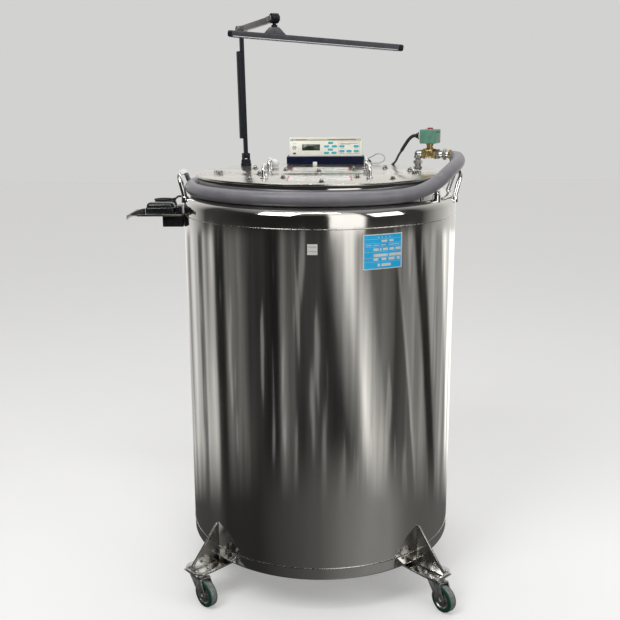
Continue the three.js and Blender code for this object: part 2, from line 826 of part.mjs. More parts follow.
const dewar = new THREE.Group();
vessel.position.x = AXIS_X;
dewar.add(vessel);

export default dewar;
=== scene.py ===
# %% [markdown]
# # A liquid nitrogen dewar, piece by piece
# The dewar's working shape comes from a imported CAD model, which stands here as a fixed frame.
# Blender adds what the eye needs: round steel, real cords, screws, keys and finishes.
# Every new piece is placed from the frame, so nothing has to be fitted by eye.

# %% The frame
import math

import bmesh
import bpy
from mathutils import Matrix, Vector


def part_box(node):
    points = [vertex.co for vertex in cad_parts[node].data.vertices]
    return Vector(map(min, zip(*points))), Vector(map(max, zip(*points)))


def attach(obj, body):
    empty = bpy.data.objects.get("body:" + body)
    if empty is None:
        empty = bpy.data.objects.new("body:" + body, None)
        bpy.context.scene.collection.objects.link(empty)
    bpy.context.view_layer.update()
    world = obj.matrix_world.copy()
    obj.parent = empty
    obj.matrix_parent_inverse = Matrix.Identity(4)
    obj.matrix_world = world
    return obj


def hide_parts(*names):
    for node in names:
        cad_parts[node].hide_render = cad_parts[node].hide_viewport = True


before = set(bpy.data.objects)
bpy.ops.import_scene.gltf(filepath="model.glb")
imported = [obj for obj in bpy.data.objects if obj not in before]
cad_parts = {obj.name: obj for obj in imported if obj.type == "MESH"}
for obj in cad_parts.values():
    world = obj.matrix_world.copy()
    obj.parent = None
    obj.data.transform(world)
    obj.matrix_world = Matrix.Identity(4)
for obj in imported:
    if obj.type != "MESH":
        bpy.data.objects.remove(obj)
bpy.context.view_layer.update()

# %% [markdown]
# The drum's axis is the natural place to measure from, because nearly everything sits round it.
# It stands a little beside the frame's origin, so one helper turns millimetres from the axis
# into a point of the frame.

# %% Measuring from the drum's axis
MM = 0.001
wall_low, wall_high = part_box("drum_wall")
AXIS_X = (wall_low.x + wall_high.x) / 2
DRUM = (wall_high.x - wall_low.x) / 2
LID_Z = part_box("lid_plate")[1].z


def at(x, y, z):
    """A point in the frame, from millimetres off the drum's axis and above the floor."""
    return Vector((AXIS_X + x * MM, y * MM, z * MM))


def around(radius, degrees, z):
    """A point on a circle round the drum's axis."""
    angle = math.radians(degrees)
    return at(radius * math.cos(angle), radius * math.sin(angle), z)


axis_move = Matrix.Translation((AXIS_X, 0, 0))
print("drum axis at", round(AXIS_X, 5), "radius", round(DRUM, 4))

# %% [markdown]
# The camera stands where a person would, a little above the lid and looking down at the drum.
# A lens just over 50 mm keeps the drum's sides nearly upright. It comes first, because the
# cords are checked against what it sees.

# %% Camera
camera_data = bpy.data.cameras.new("camera")
camera_data.lens = 52.4
camera_data.sensor_width = 36.0
camera_data.shift_x = 0.0037
camera = bpy.data.objects.new("camera", camera_data)
camera.location = (AXIS_X + 0.0302, -2.6147, 1.4169)
camera.rotation_euler = (math.radians(76.35), math.radians(0.33), math.radians(1.38))
bpy.context.scene.collection.objects.link(camera)
bpy.context.scene.camera = camera
bpy.context.scene.view_settings.view_transform = "Standard"
print("camera at", [round(v, 3) for v in camera.location])

# %% [markdown]
# ## Helpers for shapes
# Most parts here are turned on a lathe, milled from a block, cut from plate or bent from rod.
# Each of these gets one helper. They return a bmesh, so that several can be joined in a piece
# before it becomes an object.

# %% Turned shapes
def turned(profile, place=None, steps=64, closed=False):
    """A body turned about Z from (radius, height) pairs in millimetres, then set in place."""
    part = bmesh.new()
    ring = [part.verts.new((radius * MM, 0, height * MM)) for radius, height in profile]
    pairs = list(zip(ring, ring[1:]))
    if closed:
        pairs.append((ring[-1], ring[0]))
    edges = [part.edges.new(pair) for pair in pairs]
    bmesh.ops.spin(part, geom=ring + edges, axis=(0, 0, 1), cent=(0, 0, 0), angle=2 * math.pi,
                   steps=steps, use_merge=True)
    bmesh.ops.remove_doubles(part, verts=part.verts, dist=1e-6)
    bmesh.ops.recalc_face_normals(part, faces=part.faces)
    bmesh.ops.transform(part, matrix=place or Matrix(), verts=part.verts)
    return part


def arc(radius, height, rounding, start, end, steps=10):
    """Points of a rounded corner in a turned profile."""
    angles = [math.radians(start + (end - start) * i / steps) for i in range(steps + 1)]
    return [(radius + rounding * math.cos(a), height + rounding * math.sin(a)) for a in angles]


def standing(x, y):
    """The place of a shape that stands upright at x, y off the drum's axis."""
    return Matrix.Translation(at(x, y, 0))


def lying(point, direction):
    """The place of a turned shape whose own Z runs along a direction."""
    return Matrix.Translation(point) @ Vector(direction).to_track_quat("Z",
                                                                       "Y").to_matrix().to_4x4()


print("a turned test ring has", len(turned([(5, 0), (6, 0), (6, 1), (5, 1)], closed=True).faces),
      "faces")

# %% [markdown]
# Blocks and plates start as a cube or an outline, and a bevel takes the edge off. Real parts never
# have a knife edge, and it is the small bright line on a bevel that makes them look solid.

# %% Blocks and plates
def block(low, high, rounding=1.0, segments=3, place=None):
    """A block between two corners in millimetres, with rounded edges."""
    part = bmesh.new()
    bmesh.ops.create_cube(part, size=1)
    size = (Vector(high) - Vector(low)) * MM
    middle = (Vector(high) + Vector(low)) * MM / 2
    fit = Matrix.Translation(middle) @ Matrix.Diagonal((*size, 1))
    bmesh.ops.transform(part, matrix=(place or Matrix()) @ fit, verts=part.verts)
    bmesh.ops.bevel(part, geom=part.edges, offset=rounding * MM, segments=segments, profile=0.5,
                    affect="EDGES", material=-1, clamp_overlap=True)
    return part


def thicken(part, depth):
    """Extrudes the flat faces along Z by a depth in millimetres and returns the new vertices."""
    grown = bmesh.ops.extrude_face_region(part, geom=part.faces[:])["geom"]
    moved = [v for v in grown if isinstance(v, bmesh.types.BMVert)]
    bmesh.ops.translate(part, vec=(0, 0, depth * MM), verts=moved)
    return moved


def bevel_rims(part, width, segments=2, angle=40):
    """Rounds every edge whose two faces meet more sharply than an angle in degrees."""
    rims = [e for e in part.edges if e.calc_face_angle(0) > math.radians(angle)]
    bmesh.ops.bevel(part, geom=rims, offset=width * MM, segments=segments, profile=0.5,
                    affect="EDGES", material=-1, clamp_overlap=True)


def plate(outline, depth, rounding=0.6, place=None):
    """A plate cut to an outline of (x, y) pairs in millimetres and extruded along Z."""
    part = bmesh.new()
    part.faces.new([part.verts.new((x * MM, y * MM, 0)) for x, y in outline])
    thicken(part, depth)
    bmesh.ops.recalc_face_normals(part, faces=part.faces)
    bevel_rims(part, rounding)
    bmesh.ops.transform(part, matrix=place or Matrix(), verts=part.verts)
    return part


print("a test block has", len(block((0, 0, 0), (10, 10, 10)).faces), "faces")

# %% [markdown]
# Bent rods and all cords are curves with a round section. A rod's path has straight runs and
# rounded corners. A cord's path is one smooth spline through listed points.

# %% Rods and cords
def rounded_path(corners, rounding, steps=8):
    """Straight runs between corner points, with an arc of the given radius in each corner."""
    path = [corners[0]]
    for before, corner, after in zip(corners, corners[1:], corners[2:]):
        start = corner + (before - corner).normalized() * rounding * MM
        end = corner + (after - corner).normalized() * rounding * MM
        for i in range(steps + 1):
            t = i / steps
            path.append(start * (1 - t) ** 2 + corner * 2 * t * (1 - t) + end * t ** 2)
    return [*path, corners[-1]]


def round_curve(name, points, radius, smooth=False, resolution=6):
    """A curve object with a round section of a radius in millimetres."""
    data = bpy.data.curves.new(name, "CURVE")
    data.dimensions = "3D"
    spline = data.splines.new("BEZIER")
    spline.bezier_points.add(len(points) - 1)
    for knot, point in zip(spline.bezier_points, points):
        knot.co = point
        knot.handle_left_type = "AUTO" if smooth else "VECTOR"
        knot.handle_right_type = "AUTO" if smooth else "VECTOR"
    data.resolution_u = 8 if smooth else 1
    data.bevel_depth = radius * MM
    data.bevel_resolution = resolution
    data.use_fill_caps = True
    curve = bpy.data.objects.new(name, data)
    bpy.context.scene.collection.objects.link(curve)
    return curve


def rod(points, radius):
    """The mesh of a bent rod, as a bmesh."""
    curve = round_curve("rod_former", points, radius)
    mesh = bpy.data.meshes.new_from_object(curve)
    part = bmesh.new()
    part.from_mesh(mesh)
    bmesh.ops.remove_doubles(part, verts=part.verts, dist=1e-6)
    bmesh.ops.recalc_face_normals(part, faces=part.faces)
    bpy.data.objects.remove(curve)
    bpy.data.meshes.remove(mesh)
    return part


print("rods and cords ready")

# %% [markdown]
# A piece joins its shapes, gets its finish and rides on a body of the frame. Where it stands for
# a plain CAD node, that node is hidden. Faces that meet at a blunt angle are shaded smooth, so a
# turned part looks round while its edges stay crisp.

# %% From shapes to pieces
def piece(name, parts, skin, body, replaced=(), sharp=32):
    """One object from several bmeshes, riding on a body of the frame."""
    mesh = bpy.data.meshes.new(name)
    whole = bmesh.new()
    for part in parts:
        part.to_mesh(mesh)
        whole.from_mesh(mesh)
        part.free()
    whole.to_mesh(mesh)
    whole.free()
    mesh.shade_smooth()
    mesh.set_sharp_from_angle(angle=math.radians(sharp))
    mesh.materials.append(skin)
    made = bpy.data.objects.new(name, mesh)
    bpy.context.scene.collection.objects.link(made)
    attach(made, body)
    if replaced:
        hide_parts(*replaced)
    return made


def softened(node, width=0.5, segments=2):
    """A copy of a CAD node with its flat faces whole again and its edges rounded."""
    part = bmesh.new()
    part.from_mesh(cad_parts[node].data)
    bmesh.ops.remove_doubles(part, verts=part.verts, dist=2e-5)
    bmesh.ops.dissolve_limit(part, angle_limit=math.radians(0.5), verts=part.verts,
                             edges=part.edges)
    bevel_rims(part, width, segments, 32)
    return part


print("piece helpers ready")

# %% [markdown]
# ## Finishes
# Every finish is a Principled shader with its detail worked out from Object coordinates, so the
# pattern keeps its real size. One helper sets up what all of them share: two layers of noise,
# one that varies the colour and the roughness, and one that raises a fine relief.

# %% A finish with grain
def noise_map(nodes, links, scale, stretch=(1, 1, 1), detail=4.0):
    """A noise texture on Object coordinates, with features of about 1 / scale metres."""
    place = nodes.new("ShaderNodeTexCoord")
    mapping = nodes.new("ShaderNodeMapping")
    mapping.inputs["Scale"].default_value = stretch
    pattern = nodes.new("ShaderNodeTexNoise")
    pattern.inputs["Scale"].default_value = scale
    pattern.inputs["Detail"].default_value = detail
    links.new(place.outputs["Object"], mapping.inputs["Vector"])
    links.new(mapping.outputs["Vector"], pattern.inputs["Vector"])
    return pattern


def spread(nodes, links, source, low, high):
    """Maps the middle of a noise to the range low to high."""
    remap = nodes.new("ShaderNodeMapRange")
    remap.inputs["From Min"].default_value = 0.3
    remap.inputs["From Max"].default_value = 0.7
    remap.inputs["To Min"].default_value = low
    remap.inputs["To Max"].default_value = high
    links.new(source, remap.inputs["Value"])
    return remap.outputs["Result"]


def finish(name, light, dark, roughness, metallic=0.0, scale=60.0, stretch=(1, 1, 1), relief=0.1,
           relief_scale=900.0, relief_stretch=(1, 1, 1), specular=0.5):
    """A material whose colour runs from dark to light and roughness over a range, with relief."""
    material = bpy.data.materials.new(name)
    material.use_nodes = True
    nodes = material.node_tree.nodes
    links = material.node_tree.links
    shader = nodes["Principled BSDF"]
    shader.inputs["Metallic"].default_value = metallic
    shader.inputs["Specular IOR Level"].default_value = specular
    cloud = noise_map(nodes, links, scale, stretch)
    tones = nodes.new("ShaderNodeValToRGB")
    tones.color_ramp.elements[0].position = 0.35
    tones.color_ramp.elements[0].color = (*dark, 1)
    tones.color_ramp.elements[1].position = 0.65
    tones.color_ramp.elements[1].color = (*light, 1)
    links.new(cloud.outputs["Fac"], tones.inputs["Fac"])
    links.new(tones.outputs["Color"], shader.inputs["Base Color"])
    links.new(spread(nodes, links, cloud.outputs["Fac"], *roughness), shader.inputs["Roughness"])
    grain = noise_map(nodes, links, relief_scale, relief_stretch, 3.0)
    bump = nodes.new("ShaderNodeBump")
    bump.inputs["Strength"].default_value = relief
    bump.inputs["Distance"].default_value = 0.0005
    links.new(grain.outputs["Fac"], bump.inputs["Height"])
    links.new(bump.outputs["Normal"], shader.inputs["Normal"])
    return material


print("finish helper ready")

# %% [markdown]
# The drum is stainless sheet, rolled into a cylinder and polished to a mirror. Rolling leaves long
# shallow waves, so what it mirrors breaks into upright streaks. A slow relief that is stretched
# along Z makes those waves, and smears of handling change the roughness from place to place.

# %% Metals
SHEET_WAVES = (1, 1, 0.1)
drum_steel = finish("drum_steel", (0.70, 0.69, 0.67), (0.62, 0.605, 0.58), (0.045, 0.11), 1.0,
                    scale=7.0, stretch=(1, 1, 0.35), relief=0.55, relief_scale=16.0,
                    relief_stretch=SHEET_WAVES)
head_steel = finish("head_steel", (0.70, 0.69, 0.67), (0.64, 0.625, 0.60), (0.05, 0.10), 1.0,
                    scale=9.0, relief=0.3, relief_scale=20.0)
plate_steel = finish("plate_steel", (0.64, 0.625, 0.575), (0.56, 0.545, 0.50), (0.15, 0.22), 1.0,
                     scale=11.0, relief=0.10, relief_scale=14.0)
bracket_steel = finish("bracket_steel", (0.60, 0.59, 0.57), (0.50, 0.49, 0.47), (0.15, 0.22), 1.0,
                       scale=20.0, relief=0.03, relief_scale=30.0)
weld_steel = finish("weld_steel", (0.74, 0.72, 0.68), (0.45, 0.41, 0.35), (0.16, 0.34), 1.0,
                    scale=160.0, relief=0.6, relief_scale=420.0)
tray_steel = finish("tray_steel", (0.36, 0.34, 0.31), (0.24, 0.225, 0.20), (0.26, 0.40), 1.0,
                    scale=50.0, relief=0.15, relief_scale=900.0)
satin_steel = finish("satin_steel", (0.64, 0.63, 0.61), (0.50, 0.49, 0.47), (0.24, 0.38), 1.0,
                     scale=90.0, stretch=(1, 1, 6), relief=0.12, relief_scale=1200.0)
chrome = finish("chrome", (0.86, 0.86, 0.86), (0.76, 0.76, 0.76), (0.03, 0.07), 1.0,
                scale=70.0, relief=0.04, relief_scale=300.0)
# The chrome of the cap nuts and hinges has a darker base colour: painted shade, standing in for the dark room these
# small domes mirror.
shade_darkened_chrome = finish("shade_darkened_chrome", (0.50, 0.49, 0.47), (0.34, 0.33, 0.32), (0.10, 0.22), 1.0,
                     scale=150.0, relief=0.15, relief_scale=500.0)
zinc = finish("zinc", (0.66, 0.66, 0.67), (0.42, 0.42, 0.42), (0.2, 0.4), 1.0,
              scale=120.0, relief=0.15, relief_scale=900.0)
brass = finish("brass", (0.68, 0.54, 0.25), (0.44, 0.33, 0.14), (0.2, 0.42), 1.0,
               scale=110.0, relief=0.15, relief_scale=900.0)
print("metals:", len(bpy.data.materials))

# %% [markdown]
# Plastics, rubber and paint differ in how fine their grain is and how much they shine. The hose's
# lagging is a closed-cell foam sleeve with a soft lilac-grey skin. Old tyres are polished by the
# floor on the tread and keep their green on the sides.

# %% Plastics, rubber and paint
lagging = finish("lagging", (0.238, 0.232, 0.256), (0.200, 0.195, 0.217), (0.32, 0.44),
                 scale=26.0, relief=0.25, relief_scale=1300.0)
black_rubber = finish("black_rubber", (0.028, 0.028, 0.030), (0.016, 0.016, 0.017), (0.5, 0.7),
                      scale=130.0, relief=0.2, relief_scale=1700.0)
grey_rubber = finish("grey_rubber", (0.075, 0.075, 0.078), (0.045, 0.045, 0.047), (0.45, 0.62),
                     scale=130.0, relief=0.2, relief_scale=1700.0)
pale_vinyl = finish("pale_vinyl", (0.62, 0.62, 0.61), (0.52, 0.52, 0.51), (0.35, 0.5),
                    scale=130.0, relief=0.1, relief_scale=1500.0)
black_plastic = finish("black_plastic", (0.020, 0.021, 0.025), (0.011, 0.012, 0.014), (0.28, 0.42),
                       scale=80.0, relief=0.2, relief_scale=2200.0, specular=0.3)
gloss_black = finish("gloss_black", (0.016, 0.017, 0.020), (0.009, 0.010, 0.012), (0.12, 0.24),
                     scale=60.0, relief=0.12, relief_scale=1800.0)
lamp_paint = finish("lamp_paint", (0.017, 0.019, 0.027), (0.011, 0.012, 0.018), (0.30, 0.42),
                    scale=60.0, relief=0.15, relief_scale=2400.0, specular=0.2)
mount_paint = finish("mount_paint", (0.10, 0.10, 0.11), (0.075, 0.075, 0.083), (0.3, 0.44), 0.2,
                     scale=60.0, relief=0.12, relief_scale=2400.0)
bar_paint = finish("bar_paint", (0.080, 0.079, 0.091), (0.066, 0.065, 0.075), (0.32, 0.44),
                   scale=50.0, relief=0.12, relief_scale=2400.0, specular=0.3)
arm_paint = finish("arm_paint", (0.26, 0.255, 0.245), (0.19, 0.187, 0.18), (0.3, 0.44), 0.6,
                   scale=60.0, relief=0.12, relief_scale=2400.0)
green_enamel = finish("green_enamel", (0.140, 0.335, 0.245), (0.110, 0.270, 0.195), (0.32, 0.45),
                      scale=70.0, relief=0.3, relief_scale=650.0)
red_plastic = finish("red_plastic", (0.62, 0.010, 0.045), (0.48, 0.007, 0.032), (0.25, 0.36),
                     scale=90.0, relief=0.1, relief_scale=1500.0)
cream_plastic = finish("cream_plastic", (0.90, 0.89, 0.80), (0.84, 0.825, 0.74), (0.36, 0.48),
                       scale=30.0, relief=0.2, relief_scale=2600.0)
panel_film = finish("panel_film", (0.91, 0.90, 0.81), (0.86, 0.85, 0.76), (0.22, 0.32),
                    scale=25.0, relief=0.06, relief_scale=1800.0)
header_film = finish("header_film", (0.62, 0.57, 0.45), (0.55, 0.50, 0.39), (0.24, 0.34),
                     scale=25.0, relief=0.06, relief_scale=1800.0)
navy_plastic = finish("navy_plastic", (0.0050, 0.0085, 0.036), (0.0035, 0.006, 0.026), (0.3, 0.42),
                      scale=50.0, relief=0.2, relief_scale=2200.0, specular=0.15)
key_film = finish("key_film", (0.075, 0.50, 0.58), (0.055, 0.42, 0.50), (0.24, 0.34),
                  scale=70.0, relief=0.06, relief_scale=1800.0)
print_grey = finish("print_grey", (0.16, 0.15, 0.14), (0.10, 0.095, 0.09), (0.3, 0.4),
                    scale=60.0, relief=0.05, relief_scale=1800.0)
print_red = finish("print_red", (0.66, 0.10, 0.075), (0.56, 0.075, 0.055), (0.26, 0.36),
                   scale=60.0, relief=0.05, relief_scale=1800.0)
print_blue = finish("print_blue", (0.016, 0.540, 0.980), (0.012, 0.500, 0.940), (0.24, 0.36),
                    scale=40.0, relief=0.08, relief_scale=1500.0)
white_film = finish("white_film", (0.83, 0.83, 0.82), (0.76, 0.76, 0.745), (0.2, 0.32),
                    scale=35.0, relief=0.06, relief_scale=1500.0)
white_plastic = finish("white_plastic", (0.86, 0.86, 0.85), (0.79, 0.79, 0.77), (0.16, 0.26),
                       scale=60.0, relief=0.08, relief_scale=1500.0)
lime_plastic = finish("lime_plastic", (0.50, 0.52, 0.05), (0.40, 0.42, 0.035), (0.25, 0.36),
                      scale=90.0, relief=0.1, relief_scale=1500.0)
foam = finish("foam", (0.83, 0.81, 0.74), (0.72, 0.70, 0.63), (0.75, 0.9),
              scale=90.0, relief=0.5, relief_scale=800.0)
foil = finish("foil", (0.82, 0.82, 0.82), (0.66, 0.66, 0.66), (0.2, 0.42), 1.0,
              scale=40.0, relief=0.8, relief_scale=140.0)
tyre_green = finish("tyre_green", (0.008, 0.085, 0.058), (0.004, 0.050, 0.036), (0.4, 0.58),
                    scale=110.0, relief=0.2, relief_scale=1300.0)
tread_grey = finish("tread_grey", (0.29, 0.30, 0.29), (0.15, 0.17, 0.155), (0.5, 0.72),
                    scale=140.0, relief=0.35, relief_scale=900.0)
diffuser = finish("diffuser", (0.86, 0.86, 0.90), (0.78, 0.78, 0.82), (0.3, 0.42),
                  scale=60.0, relief=0.08, relief_scale=1500.0)
display_glass = finish("display_glass", (0.030, 0.050, 0.022), (0.016, 0.026, 0.014), (0.08, 0.14),
                       scale=45.0, relief=0.02, relief_scale=600.0)
print("finishes:", len(bpy.data.materials))

# %% [markdown]
# ## Cords
# Four things here are flexible: the lagged transfer hose and three leads. The CAD model holds
# each as a plain tube on its real route, and the same route points are repeated here.
# The hose leaves the valve's elbow, sinks past the right grip to the shoulder, and runs round
# the neck to a brass end at the back. Its lagging makes it 37 mm thick, so it bends slowly.

# %% The transfer hose
HOSE_RADIUS = 18.5
HOSE_RING = 366
HOSE_Z = 1154
hose_fall = [at(402, 71.2, 1224), at(399.5, 36, 1224), at(394.5, -15, 1222), at(384, -65, 1217.5),
             at(368, -112, 1210.5), at(347, -156, 1199.5), at(320.5, -195, 1183),
             at(286, -232, 1167),
             at(238, -278.5, 1157)]
hose_ring = [around(HOSE_RING, angle, HOSE_Z) for angle in range(-60, -241, -15)]
hose = round_curve("transfer_hose_sleeve", hose_fall + hose_ring, HOSE_RADIUS, smooth=True,
                   resolution=10)
hose.data.materials.append(lagging)
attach(hose, "vessel")
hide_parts("transfer_hose")
hose_end = piece("hose_end", [softened("hose_end_fitting", 0.6)], brass, "vessel",
                 ["hose_end_fitting"])


def run_length(points):
    """The length of a broken line through the points, a little under the cord's own."""
    return sum((b - a).length for a, b in zip(points, points[1:]))


hose_length = run_length(hose_fall + hose_ring)
print("transfer hose runs", round(hose_length, 3), "m")

# %% [markdown]
# The solenoid's lead is a rubber cable 7 mm thick. It leaves the gland level, sags behind the
# fill pipe and comes back to the controller's side. A black sleeve covers its first stretch.
# The thin pale lead beside the controller is its sensor loop.

# %% The solenoid and sensor leads
solenoid_route = [at(286.9, 142.8, 1284.7), at(279.5, 146.5, 1283.5), at(270, 152.5, 1276),
                  at(259, 165, 1259), at(249, 184, 1239), at(241, 210, 1221), at(237, 238, 1206),
                  at(232, 268, 1194), at(220, 292, 1182), at(202, 312, 1168), at(183, 326, 1166),
                  at(166, 334, 1182), at(158, 337, 1196), at(149, 338, 1200), at(140.8, 338, 1200)]
solenoid_cable = round_curve("solenoid_cable", solenoid_route, 3.5, smooth=True)
solenoid_cable.data.materials.append(grey_rubber)
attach(solenoid_cable, "vessel")
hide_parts("solenoid_lead")
solenoid_sleeve = round_curve("solenoid_sleeve", solenoid_route[:5], 5.0, smooth=True)
solenoid_sleeve.data.materials.append(black_rubber)
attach(solenoid_sleeve, "vessel")

sensor_route = [at(140.8, 310, 1206), at(149, 310, 1206), at(165, 303, 1213), at(182, 290, 1222),
                at(198, 284, 1218), at(203, 281, 1206), at(192, 278, 1196), at(172, 279, 1193.5),
                at(152, 290, 1194.5), at(140.8, 291, 1196)]
sensor_cable = round_curve("sensor_cable", sensor_route, 2.0, smooth=True)
sensor_cable.data.materials.append(pale_vinyl)
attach(sensor_cable, "vessel")
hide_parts("sensor_lead")
print("leads run", round(run_length(solenoid_route), 3), "and", round(run_length(sensor_route), 3),
      "m")

# %% [markdown]
# The adapter's lead is the long one. What it has to spare is wound beside the adapter in a neat
# coil ten diameters across, worked out by a loop. From the coil it runs round the drum's wall
# and climbs to the back of the controller.

# %% The adapter lead
COIL_X = -455
COIL_Y = 38
COIL_RADIUS = 29.5
COIL_TURNS = 5
LEAD_RADIUS = 3
TURN_STEPS = 16
coil_run = []
for step in range(COIL_TURNS * TURN_STEPS + 5):
    turn = 2 * math.pi * step / TURN_STEPS
    reach = COIL_RADIUS + 1.6 * math.sin(2.3 * turn)
    rise = 1078.5 + 6.3 * step / TURN_STEPS
    coil_run.append(at(COIL_X + reach * math.sin(turn), COIL_Y - reach * math.cos(turn), rise))
wall_run = [around(394.2, angle, z) for angle,
            z in ((163, 1098), (156, 1094), (148, 1093), (140, 1093),
            (132, 1093), (124, 1093), (116, 1094), (109, 1100))]
adapter_route = [at(-478, -1.5, 1088), at(-476, 4, 1084), *coil_run[1:], at(-418, 70, 1114),
                 at(-403, 92, 1107), *wall_run, at(-101, 386, 1118), at(-82, 394, 1146),
                 at(-70, 398, 1178),
                 at(-65, 398, 1195), at(-64, 392, 1202), at(-64, 380.8, 1202)]
adapter_cable = round_curve("adapter_cable", adapter_route, LEAD_RADIUS, smooth=True)
adapter_cable.data.materials.append(black_rubber)
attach(adapter_cable, "vessel")
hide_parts("adapter_lead", "lead_coil")
print("adapter lead runs", round(run_length(adapter_route), 3), "m")

# %% [markdown]
# ## The drum
# The outer vessel is three sheets: a rolled wall, a pressed top with a round shoulder and a
# pressed bottom. Each is a thin closed profile turned round the axis in many steps, because a
# mirror shows every facet. Two welds run round the joints as low uneven beads.

# %% Drum, heads and welds
ROUND = 256
SHEET = 3
WALL = 390
LOWER_WELD = 149
UPPER_WELD = 1081
SHOULDER_TOP = 1135
HALF_GAP = 0.15
drum_place = standing(0, 0)
wall_profile = [(WALL - SHEET, LOWER_WELD + HALF_GAP), (WALL, LOWER_WELD + HALF_GAP),
                (WALL, UPPER_WELD - HALF_GAP), (WALL - SHEET, UPPER_WELD - HALF_GAP)]
drum = piece("drum_shell", [turned(wall_profile, drum_place, ROUND, closed=True)], drum_steel,
             "vessel", ["drum_wall"])
ROLL = 30
ROLL_Z = SHOULDER_TOP - ROLL
MOUTH = 345.3
top_profile = [(WALL, UPPER_WELD + HALF_GAP), *arc(WALL - ROLL, ROLL_Z, ROLL, 0, 90, 20),
               (MOUTH, SHOULDER_TOP), (MOUTH, SHOULDER_TOP - SHEET),
               *arc(WALL - ROLL, ROLL_Z, ROLL - SHEET, 90, 0, 20),
               (WALL - SHEET, UPPER_WELD + HALF_GAP)]
shoulder = piece("shoulder_head", [turned(top_profile, drum_place, ROUND, closed=True)], head_steel,
                 "vessel", ["top_head"])
BASE_Z = 113
FOOT_ROLL = 8
bottom_profile = [(0, BASE_Z), *arc(WALL - FOOT_ROLL, BASE_Z + FOOT_ROLL, FOOT_ROLL, -90, 0, 10),
                  (WALL, LOWER_WELD - HALF_GAP), (WALL - SHEET, LOWER_WELD - HALF_GAP),
                  *arc(WALL - FOOT_ROLL, BASE_Z + FOOT_ROLL, FOOT_ROLL - SHEET, 0, -90, 10),
                  (0, BASE_Z + SHEET)]
base_head = piece("base_head", [turned(bottom_profile, drum_place, ROUND)], head_steel,
                  "vessel", ["bottom_head"])


def bead(height, width, proud):
    """A low weld bead round the wall."""
    half = width / 2
    profile = [(WALL - 0.4, height - half), (WALL + proud * 0.7, height - half * 0.5),
               (WALL + proud, height),
               (WALL + proud * 0.7, height + half * 0.5), (WALL - 0.4, height + half)]
    return turned(profile, drum_place, ROUND, closed=True)


piece("drum_welds", [bead(UPPER_WELD, 4.0, 0.45), bead(LOWER_WELD, 5.5, 0.9)], weld_steel,
      "vessel", sharp=60)
print("drum faces", len(drum.data.polygons), len(shoulder.data.polygons),
      len(base_head.data.polygons))

# %% [markdown]
# Inside the drum a second vessel holds the nitrogen. Its neck stands up through the shoulder
# inside a polished collar. The space between the two vessels is empty of air and wrapped in
# bright film. These parts show only when the lid is open, but they are as round as the drum.

# %% Neck, inner vessel and rack floor
INNER = 338
collar_profile = [(INNER + 0.3, 1125), (345, 1125), (345, 1177.7), (INNER + 0.3, 1177.7)]
piece("neck_ring", [turned(collar_profile, drum_place, ROUND, closed=True)], head_steel,
      "vessel", ["neck_collar"])
inner_profile = [(0, 190), *arc(300, 228, 38, -90, 0, 12), (INNER, 1177.7), (INNER - SHEET, 1177.7),
                 *arc(300, 228, 35, 0, -90, 12), (0, 193)]
inner_shell = piece("inner_shell", [turned(inner_profile, drum_place, 160)], satin_steel,
                    "vessel", ["inner_vessel"])
floor_profile = [(0, 233), (319, 233), (320, 232), (320, 230), (283, 230), (283, 193.3),
                 (280, 193.3),
                 (280, 230), (0, 230)]
rack_disc = piece("rack_disc", [turned(floor_profile, drum_place, 160)], satin_steel,
                  "vessel", ["rack_floor"])
gasket_profile = [(336, 1178), (348, 1178), (348.6, 1180.8), (348, 1183.7), (336, 1183.7)]
piece("gasket_ring", [turned(gasket_profile, drum_place, ROUND, closed=True)], black_rubber,
      "vessel", ["lid_gasket"])
print("inner parts made:", inner_shell.name, rack_disc.name)

# %% [markdown]
# ## The two top plates
# A disc of 6 mm plate closes the neck. It is cut in two along a straight line: the rear part is
# bolted down and carries the fittings, and the front part is the lid. A circle cut by a plane,
# extruded and bevelled gives both halves.

# %% Top plates
PLATE_RADIUS = 352
PLATE_DEPTH = 6
SPLIT_Y = -38


def half_plate(side):
    """The plate on one side of the split: side 1 is the rear, side -1 the lid."""
    part = bmesh.new()
    bmesh.ops.create_circle(part, cap_ends=True, segments=ROUND, radius=PLATE_RADIUS * MM)
    cut = Vector((0, (SPLIT_Y + side * 0.5) * MM, 0))
    bmesh.ops.bisect_plane(part, geom=part.verts[:] + part.edges[:] + part.faces[:], plane_co=cut,
                           plane_no=(0, side, 0), clear_inner=True)
    thicken(part, PLATE_DEPTH)
    bmesh.ops.recalc_face_normals(part, faces=part.faces)
    bevel_rims(part, 0.8, 3)
    lift = Matrix.Translation((AXIS_X, 0, LID_Z - PLATE_DEPTH * MM))
    bmesh.ops.transform(part, matrix=lift, verts=part.verts)
    return part


rear_top = piece("rear_top", [half_plate(1)], plate_steel, "vessel",
                 ["rear_plate"])
lid_top = piece("lid_top", [half_plate(-1)], plate_steel, "lid", ["lid_plate"])
for half, body in (("rear", "vessel"), ("lid", "lid")):
    piece(f"{half}_plug", [softened(f"{half}_foam_plug", 3, 3)], foam, body,
          [f"{half}_foam_plug"])
print("plates", len(rear_top.data.polygons), len(lid_top.data.polygons))

# %% [markdown]
# Cap nuts on wide washers hold the foam and the hinges to the plates. A cap nut is a small
# hexagon under a dome. Every one is the same, so a function makes it and a list of places sets
# it down.

# %% Cap nuts
def cap_nut(x, y, turn=0.0):
    """A washer, a hexagon and a dome."""
    place = Matrix.Translation(at(x, y, 1190)) @ Matrix.Rotation(turn, 4, "Z")
    washer = turned([(0, 0), (9.5, 0), (9.5, 0.9), (9.0, 1.3), (0, 1.3)], place, 32)
    hexagon = turned([(0, 1.3), (5.8, 1.3), (6.2, 1.8), (6.2, 4.6), (5.6, 5.2), (0, 5.2)], place, 6)
    dome = turned([(0, 5.0), *arc(0, 5.0, 5.0, 0, 90, 8)], place, 24)
    return [washer, hexagon, dome]


